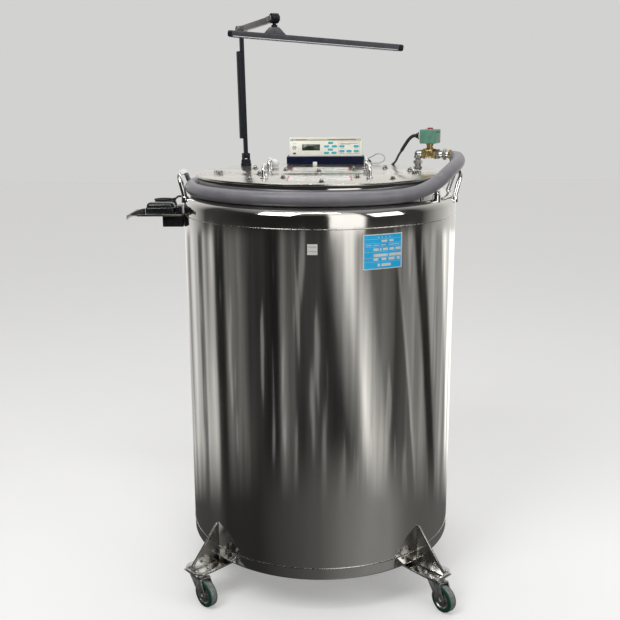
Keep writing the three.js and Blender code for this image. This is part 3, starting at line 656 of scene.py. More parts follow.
rear_nut_places = [(-196, 135), (196, 128), (-100, 62), (100, 76), (-3, 20), (262, 40)]
lid_nut_places = [(-181, -232), (195, -222), (-96, -182), (103, -172), (8, -300), (-169, -60)]
# The cap nuts get the chrome whose darker base colour is painted shade.
for half, body, places in (("rear", "vessel", rear_nut_places), ("lid", "lid", lid_nut_places)):
    nuts = [shape for i, spot in enumerate(places) for shape in cap_nut(*spot, i)]
    piece(f"{half}_cap_nuts", nuts, shade_darkened_chrome, body)
print("cap nuts", len(rear_nut_places) + len(lid_nut_places))

# %% [markdown]
# The lid swings on two small butt hinges. Each has three knuckles on one pin: the outer two go
# with the lid's leaf and the middle one with the fixed leaf. Two domed screws hold each leaf.

# %% Hinges
ON_PLATE = 1190.3
LEAF_TOP = 1191.9
LEAF_HALF = 12
HINGE_Z = 1194.8
HINGE_RADIUS = 4.5


def knuckle(x, start, end):
    """One knuckle of a hinge, with its ends rounded over."""
    place = lying(at(x + start, SPLIT_Y, HINGE_Z), (1, 0, 0))
    length = end - start
    profile = [(0, 0), (HINGE_RADIUS - 0.6, 0), (HINGE_RADIUS, 0.6), (HINGE_RADIUS, length - 0.6),
               (HINGE_RADIUS - 0.6, length), (0, length)]
    return turned(profile, place, 32)


def screw(x, y, z, radius=2.6):
    """A domed screw head that stands on a level face."""
    place = Matrix.Translation(at(x, y, z))
    return turned([(0, 0), (radius, 0), *arc(0, 0.2, radius, 10, 90, 6)], place, 20)


def leaf(x, y_low, y_high):
    """One leaf of a hinge."""
    return block((x - LEAF_HALF, y_low, ON_PLATE), (x + LEAF_HALF, y_high, LEAF_TOP), 0.6, 2,
                 axis_move)


for name, x in (("left", -287), ("right", 274)):
    moving = [knuckle(x, -LEAF_HALF, -4.2), knuckle(x, 4.2, LEAF_HALF),
              leaf(x, SPLIT_Y - 15, SPLIT_Y - 1)]
    moving += [screw(x - 7, SPLIT_Y - 10, LEAF_TOP), screw(x + 7, SPLIT_Y - 10, LEAF_TOP)]
    piece(f"lid_hinge_leaf_{name}", moving, shade_darkened_chrome, "lid",
          [f"lid_hinge_{name}"])
    fixed = [knuckle(x, -4, 4), leaf(x, SPLIT_Y + 1, SPLIT_Y + 15)]
    fixed += [screw(x - 7, SPLIT_Y + 10, LEAF_TOP), screw(x + 7, SPLIT_Y + 10, LEAF_TOP)]
    piece(f"fixed_hinge_leaf_{name}", fixed, shade_darkened_chrome, "vessel")
print("hinges at", HINGE_Z, "mm")

# %% [markdown]
# Four bow handles stand on the plates, two on the lid to lift it by and two on the fixed plate.
# Each is a 10 mm rod bent twice, with a turned foot at either end.

# %% Plate handles
HANDLE_TOP = 1220
HANDLE_ROD = 5


def bow_handle(x, y_low, y_high):
    """A bent rod on two stepped feet."""
    corners = [at(x, y_low, 1191), at(x, y_low, HANDLE_TOP), at(x, y_high, HANDLE_TOP),
               at(x, y_high, 1191)]
    shapes = [rod(rounded_path(corners, 14), HANDLE_ROD)]
    for y in (y_low, y_high):
        foot = [(0, ON_PLATE), (9, ON_PLATE), (9, 1192.4), (8.3, 1193.2), (6.6, 1193.8),
                (6.2, 1196),
                (0, 1196)]
        shapes.append(turned(foot, standing(x, y), 40))
    return shapes


for half, body, y_low, y_high in (("lid", "lid", -190, -105), ("rear", "vessel", 35, 120)):
    for side, x in (("left", -148), ("right", 136)):
        name = f"{half}_handle_{side}"
        piece(f"{name}_bow", bow_handle(x, y_low, y_high), chrome, body, [name])
print("handle bows made")

# %% [markdown]
# Two larger grips stand on the shoulder, one on either side, and lean outwards over the hose.
# Each is a bent rod that ends in two round bosses welded to the shoulder. A capped port for
# drawing the vacuum stands beside the right one.

# %% Side grips and vacuum port
GRIP_ROD = 7.5


def side_grip(side):
    """An arch of rod across the shoulder; side is -1 on the left and 1 on the right."""
    foot_x = side * 377
    top_x = side * 397
    corners = [at(foot_x, -80, 1122), at(top_x, -62, 1190), at(top_x, 62, 1190),
               at(foot_x, 80, 1122)]
    shapes = [rod(rounded_path(corners, 26), GRIP_ROD)]
    for y in (-80, 80):
        boss = [(0, 1113), (11.5, 1113), (11.5, 1128), (10.5, 1129.6), (7.5, 1130.5), (0, 1130.5)]
        shapes.append(turned(boss, standing(foot_x, y), 40))
    return shapes


for name, side in (("left", -1), ("right", 1)):
    piece(f"side_grip_arch_{name}", side_grip(side), chrome, "vessel",
          [f"side_grip_{name}"])
port_spot = around(371, -32, 0)
port_profile = [(0, 1122), (11, 1122), (11, 1145.5), (10, 1147), (7.6, 1148.2), (7.2, 1149.5),
                (7.2, 1154),
                (6, 1155.6), (0, 1156)]
piece("vacuum_port_cap", [turned(port_profile, Matrix.Translation(port_spot), 48)], chrome,
      "vessel",
      ["vacuum_port"])
print("side grips and port made")

# %% [markdown]
# ## Fill line and solenoid valve
# Liquid nitrogen comes in through a thin tube that goes down into the vessel. Above the plate
# stand an elbow, a brass solenoid valve and a union, all in one line that points out over the
# shoulder. The line has its own place, so its parts are turned along it by their distances.

# %% The line's own place and turned fittings
RISER_X = 295
RISER_Y = 139
LINE_Z = 1232
LINE_TURN = math.radians(-25)
line_place = Matrix.Translation(at(RISER_X, RISER_Y, LINE_Z)) @ Matrix.Rotation(LINE_TURN, 4, "Z")
flow_place = line_place @ Matrix.Rotation(math.radians(90), 4, "Y")


def collar_nut(start, end, radius, sides=6, place=flow_place):
    """A nut or a round collar along a line, with chamfered rims."""
    chamfer = min(1.2, (end - start) / 4)
    profile = [(0, start), (radius - chamfer, start), (radius, start + chamfer),
               (radius, end - chamfer),
               (radius - chamfer, end), (0, end)]
    return turned(profile, place, sides)


riser_place = standing(RISER_X, RISER_Y)
riser_foot = [(0, ON_PLATE), (13, ON_PLATE), (13, 1193.6), (12, 1194.8), (9, 1195.4), (0, 1195.4)]
riser_shapes = [turned(riser_foot, riser_place, 48), collar_nut(300, 1192, 6.35, 32, riser_place),
                collar_nut(1195, 1218, 8.5, 40, riser_place),
                collar_nut(1202, 1212, 13.5, 6, riser_place),
                collar_nut(1197.5, 1200.5, 10.5, 40, riser_place)]
piece("fill_pipe", riser_shapes, satin_steel, "vessel", ["fill_riser"])
elbow_shapes = [turned([(0, 1218.3), (11.2, 1218.3), (12.5, 1219.5), (12.5, 1224.5), (11.4, 1225.5),
                        (11.2, 1232),
                        *arc(0, 1232, 11.2, 0, 90, 8)], riser_place, 40),
                turned([(0, 0), (11.2, 0), (11.2, 7), (12.5, 8), (12.5, 13.4), (11.6, 14), (0, 14)],
                       flow_place, 40)]
piece("riser_bend", elbow_shapes, satin_steel, "vessel", ["riser_elbow"])

# %% [markdown]
# The valve's brass body is a forging: a round waist with hexagons at both ends and a square
# boss in the middle. The bonnet rises from it into the solenoid's housing, a green enamelled
# box with soft edges, two small screws and a red cap that marks the voltage.

# %% Valve body, solenoid and gland
BONNET_X = 36
BOX_LOW = 31
BOX_HIGH = 72
body_shapes = [collar_nut(14.3, 24, 15, 6), collar_nut(48.5, 58, 15, 6),
               collar_nut(22, 51, 11.5, 32),
               block((25, -14.5, -12), (48, 14.5, 13), 2.5, 4, line_place)]
bonnet_place = line_place @ Matrix.Translation((BONNET_X * MM, 0, 0))
body_shapes.append(turned([(0, 10), (13, 10), (13, 16), (11.5, 18), (9, 18.6), (9, 24), (11, 24.6),
                           (11, 29.6),
                           (10, 30.7), (0, 30.7)], bonnet_place, 48))
piece("valve_forging", body_shapes, brass, "vessel", ["valve_body"])
housing = [block((12, -26.5, BOX_LOW), (60, 26.5, BOX_HIGH), 2.6, 4, line_place)]
housing.append(turned([(0, 70), (15, 70), (15, 72.2), (14.4, 72.8), (0, 72.8)], bonnet_place, 48))
piece("solenoid_housing", housing, green_enamel, "vessel", ["valve_coil"])
cap_profile = [(0, 72.6), (8.5, 72.6), (8.5, 76.2), (7.6, 77), (0, 77)]
piece("solenoid_cap", [turned(cap_profile, bonnet_place, 40)], red_plastic, "vessel")
side_place = line_place @ Matrix.Translation((60 * MM, 0, 0)) @ Matrix.Rotation(math.radians(90), 4,
                                                                                "Y")
housing_screws = [turned([(0, -0.4), (2.4, -0.4), (2.4, 0.6), (1.6, 1.4), (0, 1.5)],
                         side_place @ Matrix.Translation((-64 * MM, y * MM, 0)), 20) for y in (-9,
                                                                                               9)]
piece("solenoid_screws", housing_screws, black_plastic, "vessel")
gland_place = flow_place @ Matrix.Translation((-52.7 * MM, 0, 0))
gland_disc = [turned([(0, 4.5), (13.5, 4.5), (15, 6), (15, 10.4), (14, 11.7), (0, 11.7)],
                     gland_place, 48)]
piece("gland_disc", gland_disc, cream_plastic, "vessel", ["cable_gland"])
gland_nut = [collar_nut(-2.5, 4.6, 10.5, 6, gland_place), collar_nut(-8, -2, 7.6, 32, gland_place)]
piece("gland_nut", gland_nut, black_plastic, "vessel")

# %% [markdown]
# A union joins the valve to the hose. Its two hexagons are steel and the nut that holds the
# lagged elbow is brass. The elbow itself turns the line towards the front; its lagging is the
# same foam sleeve as the hose, made as a round curve along a level arc.

# %% Union and lagged elbow
union = [collar_nut(58.3, 68, 14, 6), collar_nut(67, 80, 11, 40), collar_nut(78, 88, 16.5, 6),
         collar_nut(87, 97, 11, 40)]
piece("line_union", union, satin_steel, "vessel", ["outlet_union"])
piece("barb_nut", [collar_nut(95.5, 104, 14.5, 6)], brass, "vessel")
ELBOW_RADIUS = 22
ELBOW_Z = LINE_Z - 8
ELBOW_START = 104.3
ELBOW_STEPS = 14
elbow_run = []
for step in range(ELBOW_STEPS + 1):
    heading = LINE_TURN + (math.radians(-94) - LINE_TURN) * step / ELBOW_STEPS
    reach_x = RISER_X + ELBOW_START * math.cos(LINE_TURN) + ELBOW_RADIUS * (math.sin(LINE_TURN) - math.sin(heading))
    reach_y = RISER_Y + ELBOW_START * math.sin(LINE_TURN) - ELBOW_RADIUS * (math.cos(LINE_TURN) - math.cos(heading))
    elbow_run.append(at(reach_x, reach_y, ELBOW_Z))
piece("elbow_sleeve", [rod(elbow_run, HOSE_RADIUS)], lagging, "vessel",
      ["elbow_lagging"])
print("elbow ends at", [round(v, 3) for v in elbow_run[-1]])

# %% [markdown]
# The level probe goes down through the fixed plate. Above the plate it has a white ball cap
# with a yellow-green ring where its wire would come out.

# %% Level probe
PROBE_X = -137
PROBE_Y = 138
probe_place = standing(PROBE_X, PROBE_Y)
probe_profile = [(0, 250), (8, 250), (8, ON_PLATE), (12, ON_PLATE), (12, 1193.2), (11.2, 1194),
                 (7, 1194.4),
                 *arc(0, 1205, 13, -62, 90, 20)]
piece("probe_ball", [turned(probe_profile, probe_place, 64)], white_plastic, "vessel",
      ["level_probe"])
tip_place = lying(at(PROBE_X, PROBE_Y, 1205), (-0.86, -0.5, 0.05))
tip = [turned([(0, 10), (5.2, 10), (5.2, 12.8), (4.4, 14), (0, 14.3)], tip_place, 32)]
piece("probe_tip", tip, lime_plastic, "vessel")
print("probe ball at", PROBE_X, PROBE_Y)

# %% [markdown]
# ## Controller
# The level controller is a cream case on a dark blue base. Its front leans back, so the panel
# gets a place of its own: u runs to the right, v runs up the slope and the third axis points
# out of the face. Everything on the panel is laid out in that plane.

# %% Controller base and case
CASE_LEFT = -101
CASE_FRONT = 296
CASE_FOOT = 1213.6
CASE_WIDTH = 234
CASE_DEPTH = 66
CASE_HEIGHT = 58
CASE_LEAN = math.radians(15)
lean_shift = CASE_HEIGHT * math.tan(CASE_LEAN)
piece("controller_foot", [block((-108, 288, ON_PLATE), (140, 380, 1213.3), 2.2, 4, axis_move)],
      navy_plastic,
      "vessel", ["controller_base"])
side_outline = [(0, 0), (CASE_DEPTH, 0), (CASE_DEPTH, CASE_HEIGHT), (lean_shift, CASE_HEIGHT)]
case_place = (Matrix.Translation(at(CASE_LEFT, CASE_FRONT,
                                    CASE_FOOT)) @ Matrix.Rotation(math.radians(90), 4, "Z")
              @ Matrix.Rotation(math.radians(90), 4, "X"))
piece("controller_shell", [plate(side_outline, CASE_WIDTH, 2.0, case_place)], cream_plastic,
      "vessel", ["controller_case"])
panel_place = (Matrix.Translation(at(CASE_LEFT, CASE_FRONT, CASE_FOOT))
               @ Matrix.Rotation(math.radians(90) - CASE_LEAN, 4, "X"))
print("case lean shift", round(lean_shift, 1), "mm")

# %% [markdown]
# The panel is a printed film with domed keys, a display window, a round of holes for the
# buzzer and a small switch. Each is a thin rounded block set a little proud of the one under
# it, so light catches its rim. All lettering is left out.

# %% Panel, display and keys
def tile(u_low, v_low, u_high, v_high, lift, height, rounding=0.3):
    """A thin rounded block on the panel, from lift to lift + height above it."""
    return block((u_low, v_low, lift), (u_high, v_high, lift + height), rounding, 2, panel_place)


def key(u, v, width=17, height=7.5):
    """A domed key with fully rounded ends."""
    part = bmesh.new()
    bmesh.ops.create_circle(part, cap_ends=True, segments=24, radius=height / 2 * MM)
    for vertex in part.verts:
        vertex.co.x += math.copysign((width - height) / 2 * MM, vertex.co.x)
    moved = thicken(part, 0.9)
    bmesh.ops.scale(part, vec=(0.9, 0.82, 1), verts=moved)
    bmesh.ops.recalc_face_normals(part, faces=part.faces)
    place = panel_place @ Matrix.Translation((u * MM, v * MM, 0.6 * MM))
    bmesh.ops.transform(part, matrix=place, verts=part.verts)
    return part


arrow_keys = [(133, 43), (120, 32), (145, 32), (132, 21.5), (120, 11), (144, 11)]
function_keys = [(169, 32), (214.5, 32), (169, 16.5), (191.5, 16.5), (214.5, 16.5)]
piece("panel_sheet", [tile(3, 3, 231, 57.5, -0.2, 0.7)], panel_film, "vessel")
piece("panel_header", [tile(3.5, 49.5, 230.5, 57, 0.3, 0.35)], header_film, "vessel")
piece("panel_keys",
      [key(*spot) for spot in arrow_keys + function_keys] + [tile(8, 51, 14, 56, 0.5, 0.4)],
      key_film, "vessel")
print("keys", len(arrow_keys) + len(function_keys))

# %% [markdown]
# ## Print, display and screws
# Thin raised bars stand for the lines printed on the panel. The display is dark glass in a black
# bezel, with a buzzer's holes and a switch beside it. Screws hold the case to its foot.

# %% Print, display and screws
frame_lines = [(158, 46, 226, 46.7), (158, 8, 226, 8.7), (158, 8, 158.7, 46.7),
               (225.3, 8, 226, 46.7)]
piece("panel_key_frame", [tile(*line, 0.4, 0.25, 0.1) for line in frame_lines], print_red, "vessel")
legend = [(20, 52.2, 58, 54.6), (122, 52.2, 214, 54.6), (164, 40.5, 220, 41.6), (164, 38, 196, 39),
          (12, 40, 24, 41)]
legend += [(u - 7, v - 6.6, u + 7, v - 5.8) for u, v in function_keys]
piece("panel_legend", [tile(*bar, 0.5, 0.25, 0.1) for bar in legend], print_grey, "vessel")
piece("display_bezel", [tile(42, 19, 99, 38.5, 0.2, 1.0, 0.4)], black_plastic, "vessel")
piece("display_window", [tile(45.5, 22, 95.5, 35.5, 0.9, 0.5, 0.2)], display_glass, "vessel")
holes = [(0, 0)] + [(5 * math.cos(math.radians(60 * i)),
                     5 * math.sin(math.radians(60 * i))) for i in range(6)]
buzzer = [turned([(0, 0.3), (1.9, 0.3), (1.9, 0.8), (0, 0.8)],
                 panel_place @ Matrix.Translation(((17.5 + x) * MM, (28 + y) * MM, 0)), 16) for x,
          y in holes]
piece("buzzer_holes", buzzer, print_grey, "vessel")
piece("panel_switch", [tile(13, 7.5, 22, 12, 0.3, 1.6, 0.5)], black_plastic, "vessel")
feet = [turned([(0, 1209), (3, 1209), (3, 1213.6), (0, 1213.6)], standing(x, 300),
               20) for x in (-88, 120)]
piece("case_screws", feet, chrome, "vessel")
piece("controller_bracket", [softened("controller_stand", 0.4)], satin_steel, "vessel",
      ["controller_stand"])
print("panel pieces made")

# %% [markdown]
# ## Labels
# The drum carries a blue rating plate and a small white sticker, and both top plates carry a
# glossy label with red ends. Printed text is replaced by plain bars. A label on the wall is a
# thin quad turned through a few degrees, so it follows the curve.

# %% Labels on the wall
def wall_label(start, end, low, high, lift=0.15, depth=0.5):
    """A thin closed patch on the wall between two angles and two heights."""
    part = bmesh.new()
    inner = WALL + lift
    corners = [(inner, low), (inner + depth, low), (inner + depth, high), (inner, high)]
    face = part.faces.new([part.verts.new((radius * MM, 0, height * MM)) for radius,
                           height in corners])
    turn = math.radians(end - start)
    steps = max(2, int((end - start) * 2))
    bmesh.ops.spin(part, geom=part.verts[:] + part.edges[:] + [face], axis=(0, 0, 1),
                   cent=(0, 0, 0),
                   angle=turn, steps=steps, use_merge=False)
    bmesh.ops.recalc_face_normals(part, faces=part.faces)
    bmesh.ops.transform(part, matrix=drum_place @ Matrix.Rotation(math.radians(start), 4, "Z"),
                        verts=part.verts)
    return part


PLATE_START = -73.2
PLATE_END = -56.8
PLATE_LOW = 975.5
PLATE_HIGH = 1065.5
piece("rating_plate_rim", [wall_label(PLATE_START, PLATE_END, PLATE_LOW, PLATE_HIGH)], white_film,
      "vessel")
piece("rating_plate_field",
      [wall_label(PLATE_START + 0.45, PLATE_END - 0.45, PLATE_LOW + 2.2, PLATE_HIGH - 2.2, 0.5,
                  0.3)],
      print_blue, "vessel")
rows = [(0.08, 0.105, ((0.37, 0.39), (0.46, 0.48), (0.55, 0.57), (0.66, 0.68))),
        (0.135, 0.14, ((0.03, 0.97),)), (0.17, 0.225, ((0.45, 0.60), (0.65, 0.76))),
        (0.255, 0.26, ((0.03, 0.97),)),
        (0.30, 0.32, ((0.06, 0.20), (0.26, 0.40), (0.44, 0.56), (0.64, 0.92))),
        (0.355, 0.36, ((0.03, 0.97),)),
        (0.40, 0.47, ((0.25, 0.38), (0.41, 0.45), (0.49, 0.62), (0.66, 0.78), (0.82, 0.96))),
        (0.50, 0.505, ((0.03, 0.97),)), (0.56, 0.64, ((0.26, 0.62), (0.65, 0.97))),
        (0.665, 0.67, ((0.03, 0.97),)),
        (0.68, 0.75, ((0.26, 0.37), (0.46, 0.58), (0.64, 0.80), (0.86, 0.94))),
        (0.785, 0.79, ((0.03, 0.97),)),
        (0.84, 0.92, ((0.36, 0.42), (0.46, 0.70)))]
span = PLATE_END - PLATE_START
rise = PLATE_HIGH - PLATE_LOW
bars = [wall_label(PLATE_START + span * a, PLATE_START + span * b, PLATE_HIGH - rise * bottom,
                   PLATE_HIGH - rise * top,
                   0.75, 0.15) for top, bottom, runs in rows for a, b in runs]
piece("rating_plate_bars", bars, white_film, "vessel")
piece("wall_sticker", [wall_label(-93.95, -90.2, 1018, 1045)], white_film, "vessel")
sticker_lines = [wall_label(-93.6, -90.6, low, low + 3.5, 0.6, 0.1) for low in (1025, 1036)]
piece("wall_sticker_lines", sticker_lines, header_film, "vessel")
print("rating plate bars", len(bars))

# %% [markdown]
# ## Labels on the top plates
# These lie flat on the steel, so each is a low block with thinner bars laid over it.

# %% Labels on the top plates
LABEL_Z = 1190.1


def flat_label(x_low, y_low, x_high, y_high, lift=0.0, depth=0.4):
    """A thin sheet on a top plate."""
    return block((x_low, y_low, LABEL_Z + lift), (x_high, y_high, LABEL_Z + lift + depth), 0.1, 1,
                 axis_move)


for name, body, low, high in (("lid", "lid", -262, -130), ("rear", "vessel", 30, 162)):
    piece(f"{name}_label", [flat_label(-80, low, 84, high)], white_film, body)
    ends = [flat_label(-84, low, -80, high, 0.1), flat_label(84, low, 88, high, 0.1)]
    piece(f"{name}_label_ends", ends, print_red, body)
    lines = [flat_label(-70, high - 20 - 14 * i, 60 - 18 * (i % 3), high - 16 - 14 * i, 0.35,
                        0.12) for i in range(7)]
    piece(f"{name}_label_lines", lines, header_film, body)
print("plate labels at", LABEL_Z)

# %% [markdown]
# ## Shelf and adapter
# A folded tray on the left carries the adapter and the spare lead. Its left end turns down. The
# adapter is a rounded black case with a softly raised top, and the lead leaves it in a sleeve.

# %% Shelf, adapter and clips
piece("shelf_bracket", [block((-452, -40, 1038), (-392, 20, 1070.7), 2, 3, axis_move)],
      black_plastic,
      "vessel", ["shelf_arm"])
tray = [block((-551, -60, 1072), (-393.5, 80, 1074), 0.6, 2, axis_move),
        block((-551, -60, 1062), (-549, 80, 1073.6), 0.6, 2, axis_move),
        block((-521, -60, 1070.8), (-393.5, -58, 1077), 0.6, 2, axis_move),
        block((-521, 78, 1070.8), (-393.5, 80, 1077), 0.6, 2, axis_move)]
piece("shelf_sheet", tray, tray_steel, "vessel", ["shelf_tray"])
adapter = [block((-499, -48, 1074.3), (-416, -2, 1096), 6, 6, axis_move),
           block((-497, -46, 1084), (-418, -4, 1108), 11, 8, axis_move),
           block((-484, -4, 1082), (-472, 6, 1094), 3, 4, axis_move)]
piece("adapter_case", adapter, gloss_black, "vessel", ["power_adapter"])
wedge_outline = [(0, 0), (40, 0), (40, 15), (30, 14), (14, 8), (1, 1.5)]
wedge_place = Matrix.Translation(at(-545, -18, 1074.2)) @ Matrix.Rotation(math.radians(90), 4, "X")
piece("shelf_wedge", [plate(wedge_outline, 26, 0.6, wedge_place)], black_rubber, "vessel")
plug = [block((-413, -46, 1074.3), (-395.5, 6, 1099), 5, 5, axis_move),
        block((-417, -30, 1080), (-411, -14, 1092), 2, 3, axis_move)]
piece("shelf_plug", plug, gloss_black, "vessel")
clips = []
for angle in (156, 132, 109):
    clip_place = Matrix.Translation(around(390.6, angle,
                                           1094)) @ Matrix.Rotation(math.radians(angle), 4, "Z")
    clips.append(block((0, -6, -6), (7.4, 6, 6), 1.5, 3, clip_place))
piece("wall_clips", clips, black_plastic, "vessel")
print("shelf pieces made")

# %% [markdown]
# ## Casters
# Four brackets are welded under the drum's edge. Each is a chamfered foot plate with an upright
# gusset, and a swivel caster is bolted under it. One function makes a bracket in its own radial
# place, where x points away from the drum's axis.

# %% Brackets
BRACKET_ANGLES = {"front_left": -138, "front_right": -44.5, "rear_left": 133, "rear_right": 43}
HEADINGS = {"front_left": -45, "front_right": -52, "rear_left": 150, "rear_right": 80}
SWIVEL_RADIUS = 460
FOOT_TOP = 105
foot_outline = [(350, -36), (440, -42), (468, -42), (476, -38), (487, -26), (490, -19), (490, 19),
                (487, 26),
                (476, 38), (468, 42), (440, 42), (350, 36)]
gusset_outline = [(390.5, 103), (390.5, 221), (393.5, 222), (398, 219), (484, 118), (486, 113),
                  (486, 103)]


def bolt(x, y, z, place, size=6.5):
    """A washer and a hexagon head on a level face."""
    spot = place @ Matrix.Translation((x * MM, y * MM, z * MM))
    washer = turned([(0, 0), (size + 2, 0), (size + 2, 1.2), (0, 1.2)], spot, 24)
    head = turned([(0, 1.2), (size, 1.2), (size, 4.6), (size - 1, 5.6), (0, 5.6)], spot, 6)
    return [washer, head]


for corner, angle in BRACKET_ANGLES.items():
    radial = axis_move @ Matrix.Rotation(math.radians(angle), 4, "Z")
    upright = radial @ Matrix.Translation((0, 2.5 * MM, 0)) @ Matrix.Rotation(math.radians(90), 4,
                                                                              "X")
    sheets = [plate(foot_outline, 5, 1.0, radial @ Matrix.Translation((0, 0, 100 * MM))),
              plate(gusset_outline, 5, 0.8, upright),
              block((352, -32, 104), (366, 32, 112.7), 1.5, 3, radial)]
    piece(f"bracket_sheets_{corner}", sheets, bracket_steel, "vessel",
          [f"bracket_{corner}"])
    mounting = [block((430, -30, 96), (490, 30, 100.4), 1.2, 3, radial)]
    for x, y in ((440, -23), (440, 23), (479, -20), (479, 20)):
        mounting += bolt(x, y, FOOT_TOP, radial, 5)
    piece(f"bracket_mounting_{corner}", mounting, zinc, "vessel")
print("brackets", len(BRACKET_ANGLES))

# %% [markdown]
# A caster is a pressed fork on a ball race, with the wheel behind the swivel's axis. The wheel
# has a green body, a grey worn tread and a bright hub, so it is turned as three bodies with
# their own finishes.

# %% Forks and wheels
TRAIL = 32
WHEEL_RADIUS = 37.5
cheek_outline = [(-20, 84), (30, 84), (43, 54), (45, 44), (44, 32), (40, 27), (32, 25), (24, 27),
                 (19, 33)]
tyre_profile = [(25, -11.5), (27, -12.5), (33.5, -12.5), (36.2, -11.2), (37.1, -8.6), (36.9, -8.4),
                (36.9, 8.4),
                (37.1, 8.6), (36.2, 11.2), (33.5, 12.5), (27, 12.5), (25, 11.5)]
tread_profile = [(36.0, -8.6), (37.0, -8.4), (37.5, -7.2), (37.5, 7.2), (37.0, 8.4), (36.0, 8.6)]
hub_profile = [(4.4, -13.5), (9, -13.5), (11, -12.2), (13, -11.0), (22, -10.4), (24, -12.4),
               (26, -12.4),
               (26, 12.4), (24, 12.4), (22, 10.4), (13, 11.0), (11, 12.2), (9, 13.5), (4.4, 13.5)]
for corner, angle in BRACKET_ANGLES.items():
    swivel = (Matrix.Translation(around(SWIVEL_RADIUS, angle, 0))
              @ Matrix.Rotation(math.radians(HEADINGS[corner]), 4, "Z"))
    wheel_place = (swivel @ Matrix.Translation((TRAIL * MM, 0, WHEEL_RADIUS * MM))
                   @ Matrix.Rotation(math.radians(-90), 4, "X"))
    race = [(0, 83), (20, 83), (22, 84.5), (24, 86.5), (24, 92), (22.6, 94.4), (20, 95.7),
            (0, 95.7)]
    fork = [turned(race, swivel, 48), block((-20, -18, 80.5), (30, 18, 84), 1.4, 3, swivel)]
    for y in (-15, 18):
        fork.append(plate(cheek_outline, 3, 0.8, swivel @ Matrix.Translation((0, y * MM, 0))
                          @ Matrix.Rotation(math.radians(90), 4, "X")))
    fork.append(turned([(0, -20), (4, -20), (4, 20), (0, 20)], wheel_place, 24))
    for end in (-21.6, 18):
        fork.append(turned([(0, end), (6.4, end), (6.4, end + 3.6), (0, end + 3.6)], wheel_place,
                           6))
    piece(f"fork_frame_{corner}", fork, zinc, f"caster_{corner}", [f"fork_{corner}"])
    piece(f"wheel_body_{corner}", [turned(tyre_profile, wheel_place, 96, closed=True)], tyre_green,
          f"roller_{corner}", [f"wheel_{corner}"])
    piece(f"wheel_tread_{corner}", [turned(tread_profile, wheel_place, 96, closed=True)],
          tread_grey,
          f"roller_{corner}")
    piece(f"wheel_hub_{corner}", [turned(hub_profile, wheel_place, 64, closed=True)], zinc,
          f"roller_{corner}")
print("casters", len(HEADINGS))

# %% [markdown]
# ## Inspection lamp
# The lamp stands on the fixed plate at the left. Its arm turns and tilts, so every link has a
# place that follows from the one before. The joints are plain hubs with ribbed caps.

# %% Lamp foot, turret and arms
LAMP_TURN = math.radians(-59.6)
PIVOT_Z = 1222
ELBOW_X = -15
ELBOW_Z = 1600
KNOB_X = 208
KNOB_Z = 1617
lamp_place = Matrix.Translation(at(-233, 239, 0)) @ Matrix.Rotation(LAMP_TURN, 4, "Z")
lower_length = math.hypot(ELBOW_X, ELBOW_Z - PIVOT_Z)
lower_place = (lamp_place @ Matrix.Translation((0, 0, PIVOT_Z * MM))
               @ Matrix.Rotation(math.atan2(ELBOW_X, ELBOW_Z - PIVOT_Z), 4, "Y"))
upper_length = math.hypot(KNOB_X - ELBOW_X, KNOB_Z - ELBOW_Z)
upper_place = (lamp_place @ Matrix.Translation((ELBOW_X * MM, 0, ELBOW_Z * MM))
               @ Matrix.Rotation(-math.atan2(KNOB_Z - ELBOW_Z, KNOB_X - ELBOW_X), 4, "Y"))
knob_place = lamp_place @ Matrix.Translation((KNOB_X * MM, 0, 0))


def cross_hub(place, y_low, y_high, radius, x=0, z=0, steps=48):
    """A round hub whose axis runs along the local Y, with softened rims."""
    spot = place @ Matrix.Translation((x * MM, 0, z * MM)) @ Matrix.Rotation(math.radians(-90), 4,
                                                                             "X")
    return turned([(0, y_low), (radius - 1, y_low), (radius, y_low + 1), (radius, y_high - 1),
                   (radius - 1, y_high),
                   (0, y_high)], spot, steps)


def ribbed_cap(place, low, high, radius, ribs):
    """A round cap with upright ribs, turned about the local Z."""
    outline = []
    for i in range(ribs * 4):
        reach = radius if i % 4 in (0, 1) else radius - 1.3
        turn = 2 * math.pi * i / (ribs * 4)
        outline.append((reach * math.cos(turn), reach * math.sin(turn)))
    return plate(outline, high - low, 0.4, place @ Matrix.Translation((0, 0, low * MM)))


foot_profile = [(0, ON_PLATE), (16.5, ON_PLATE), (16.5, 1196.5), (15.2, 1198), (0, 1198)]
piece("lamp_foot_disc", [turned(foot_profile, lamp_place, 64)], lamp_paint, "vessel",
      ["lamp_foot"])
turret = [ribbed_cap(lamp_place, 1198.3, 1208, 15, 20),
          turned([(0, 1207), (13.4, 1207), (13, 1209.4), (11, 1210), (0, 1210)],
          lamp_place, 48)]
turret += [block((-8, y, 1205), (8, y + 4, 1229), 1.2, 3, lamp_place) for y in (-11, 7)]
piece("lamp_turret_fork", turret, lamp_paint, "lamp_turret", ["lamp_swivel"])
lower = [cross_hub(lower_place, -6.5, 6.5, 9),
         block((-7, -5, 0), (7, 5, lower_length), 1.4, 3, lower_place),
         block((-9, -16, 52), (9, -4.5, 314), 2.2, 4, lower_place),
         cross_hub(lower_place, -6, 6, 9, 0, lower_length)]
piece("lamp_lower_arm", lower, lamp_paint, "lamp_lower", ["lower_arm"])
upper = [cross_hub(upper_place, 6.3, 16, 10), cross_hub(upper_place, -16, -6.3, 10),
         block((21, -9, -8), (upper_length - 19, 9, 8), 1.6, 4, upper_place),
         block((-6, 6.3, -8), (26, 11, 8), 1.2, 3, upper_place),
         block((-6, -11, -8), (26, -6.3, 8), 1.2, 3, upper_place)]
upper += [block((upper_length - 24, 11.3, -7), (upper_length + 6, 16, 7), 1.2, 3, upper_place),
          block((upper_length - 24, -16, -7), (upper_length - 19, 16, 7), 1.2, 3, upper_place),
          block((upper_length - 24, -16, -7), (upper_length + 6, -11.3, 7), 1.2, 3, upper_place)]
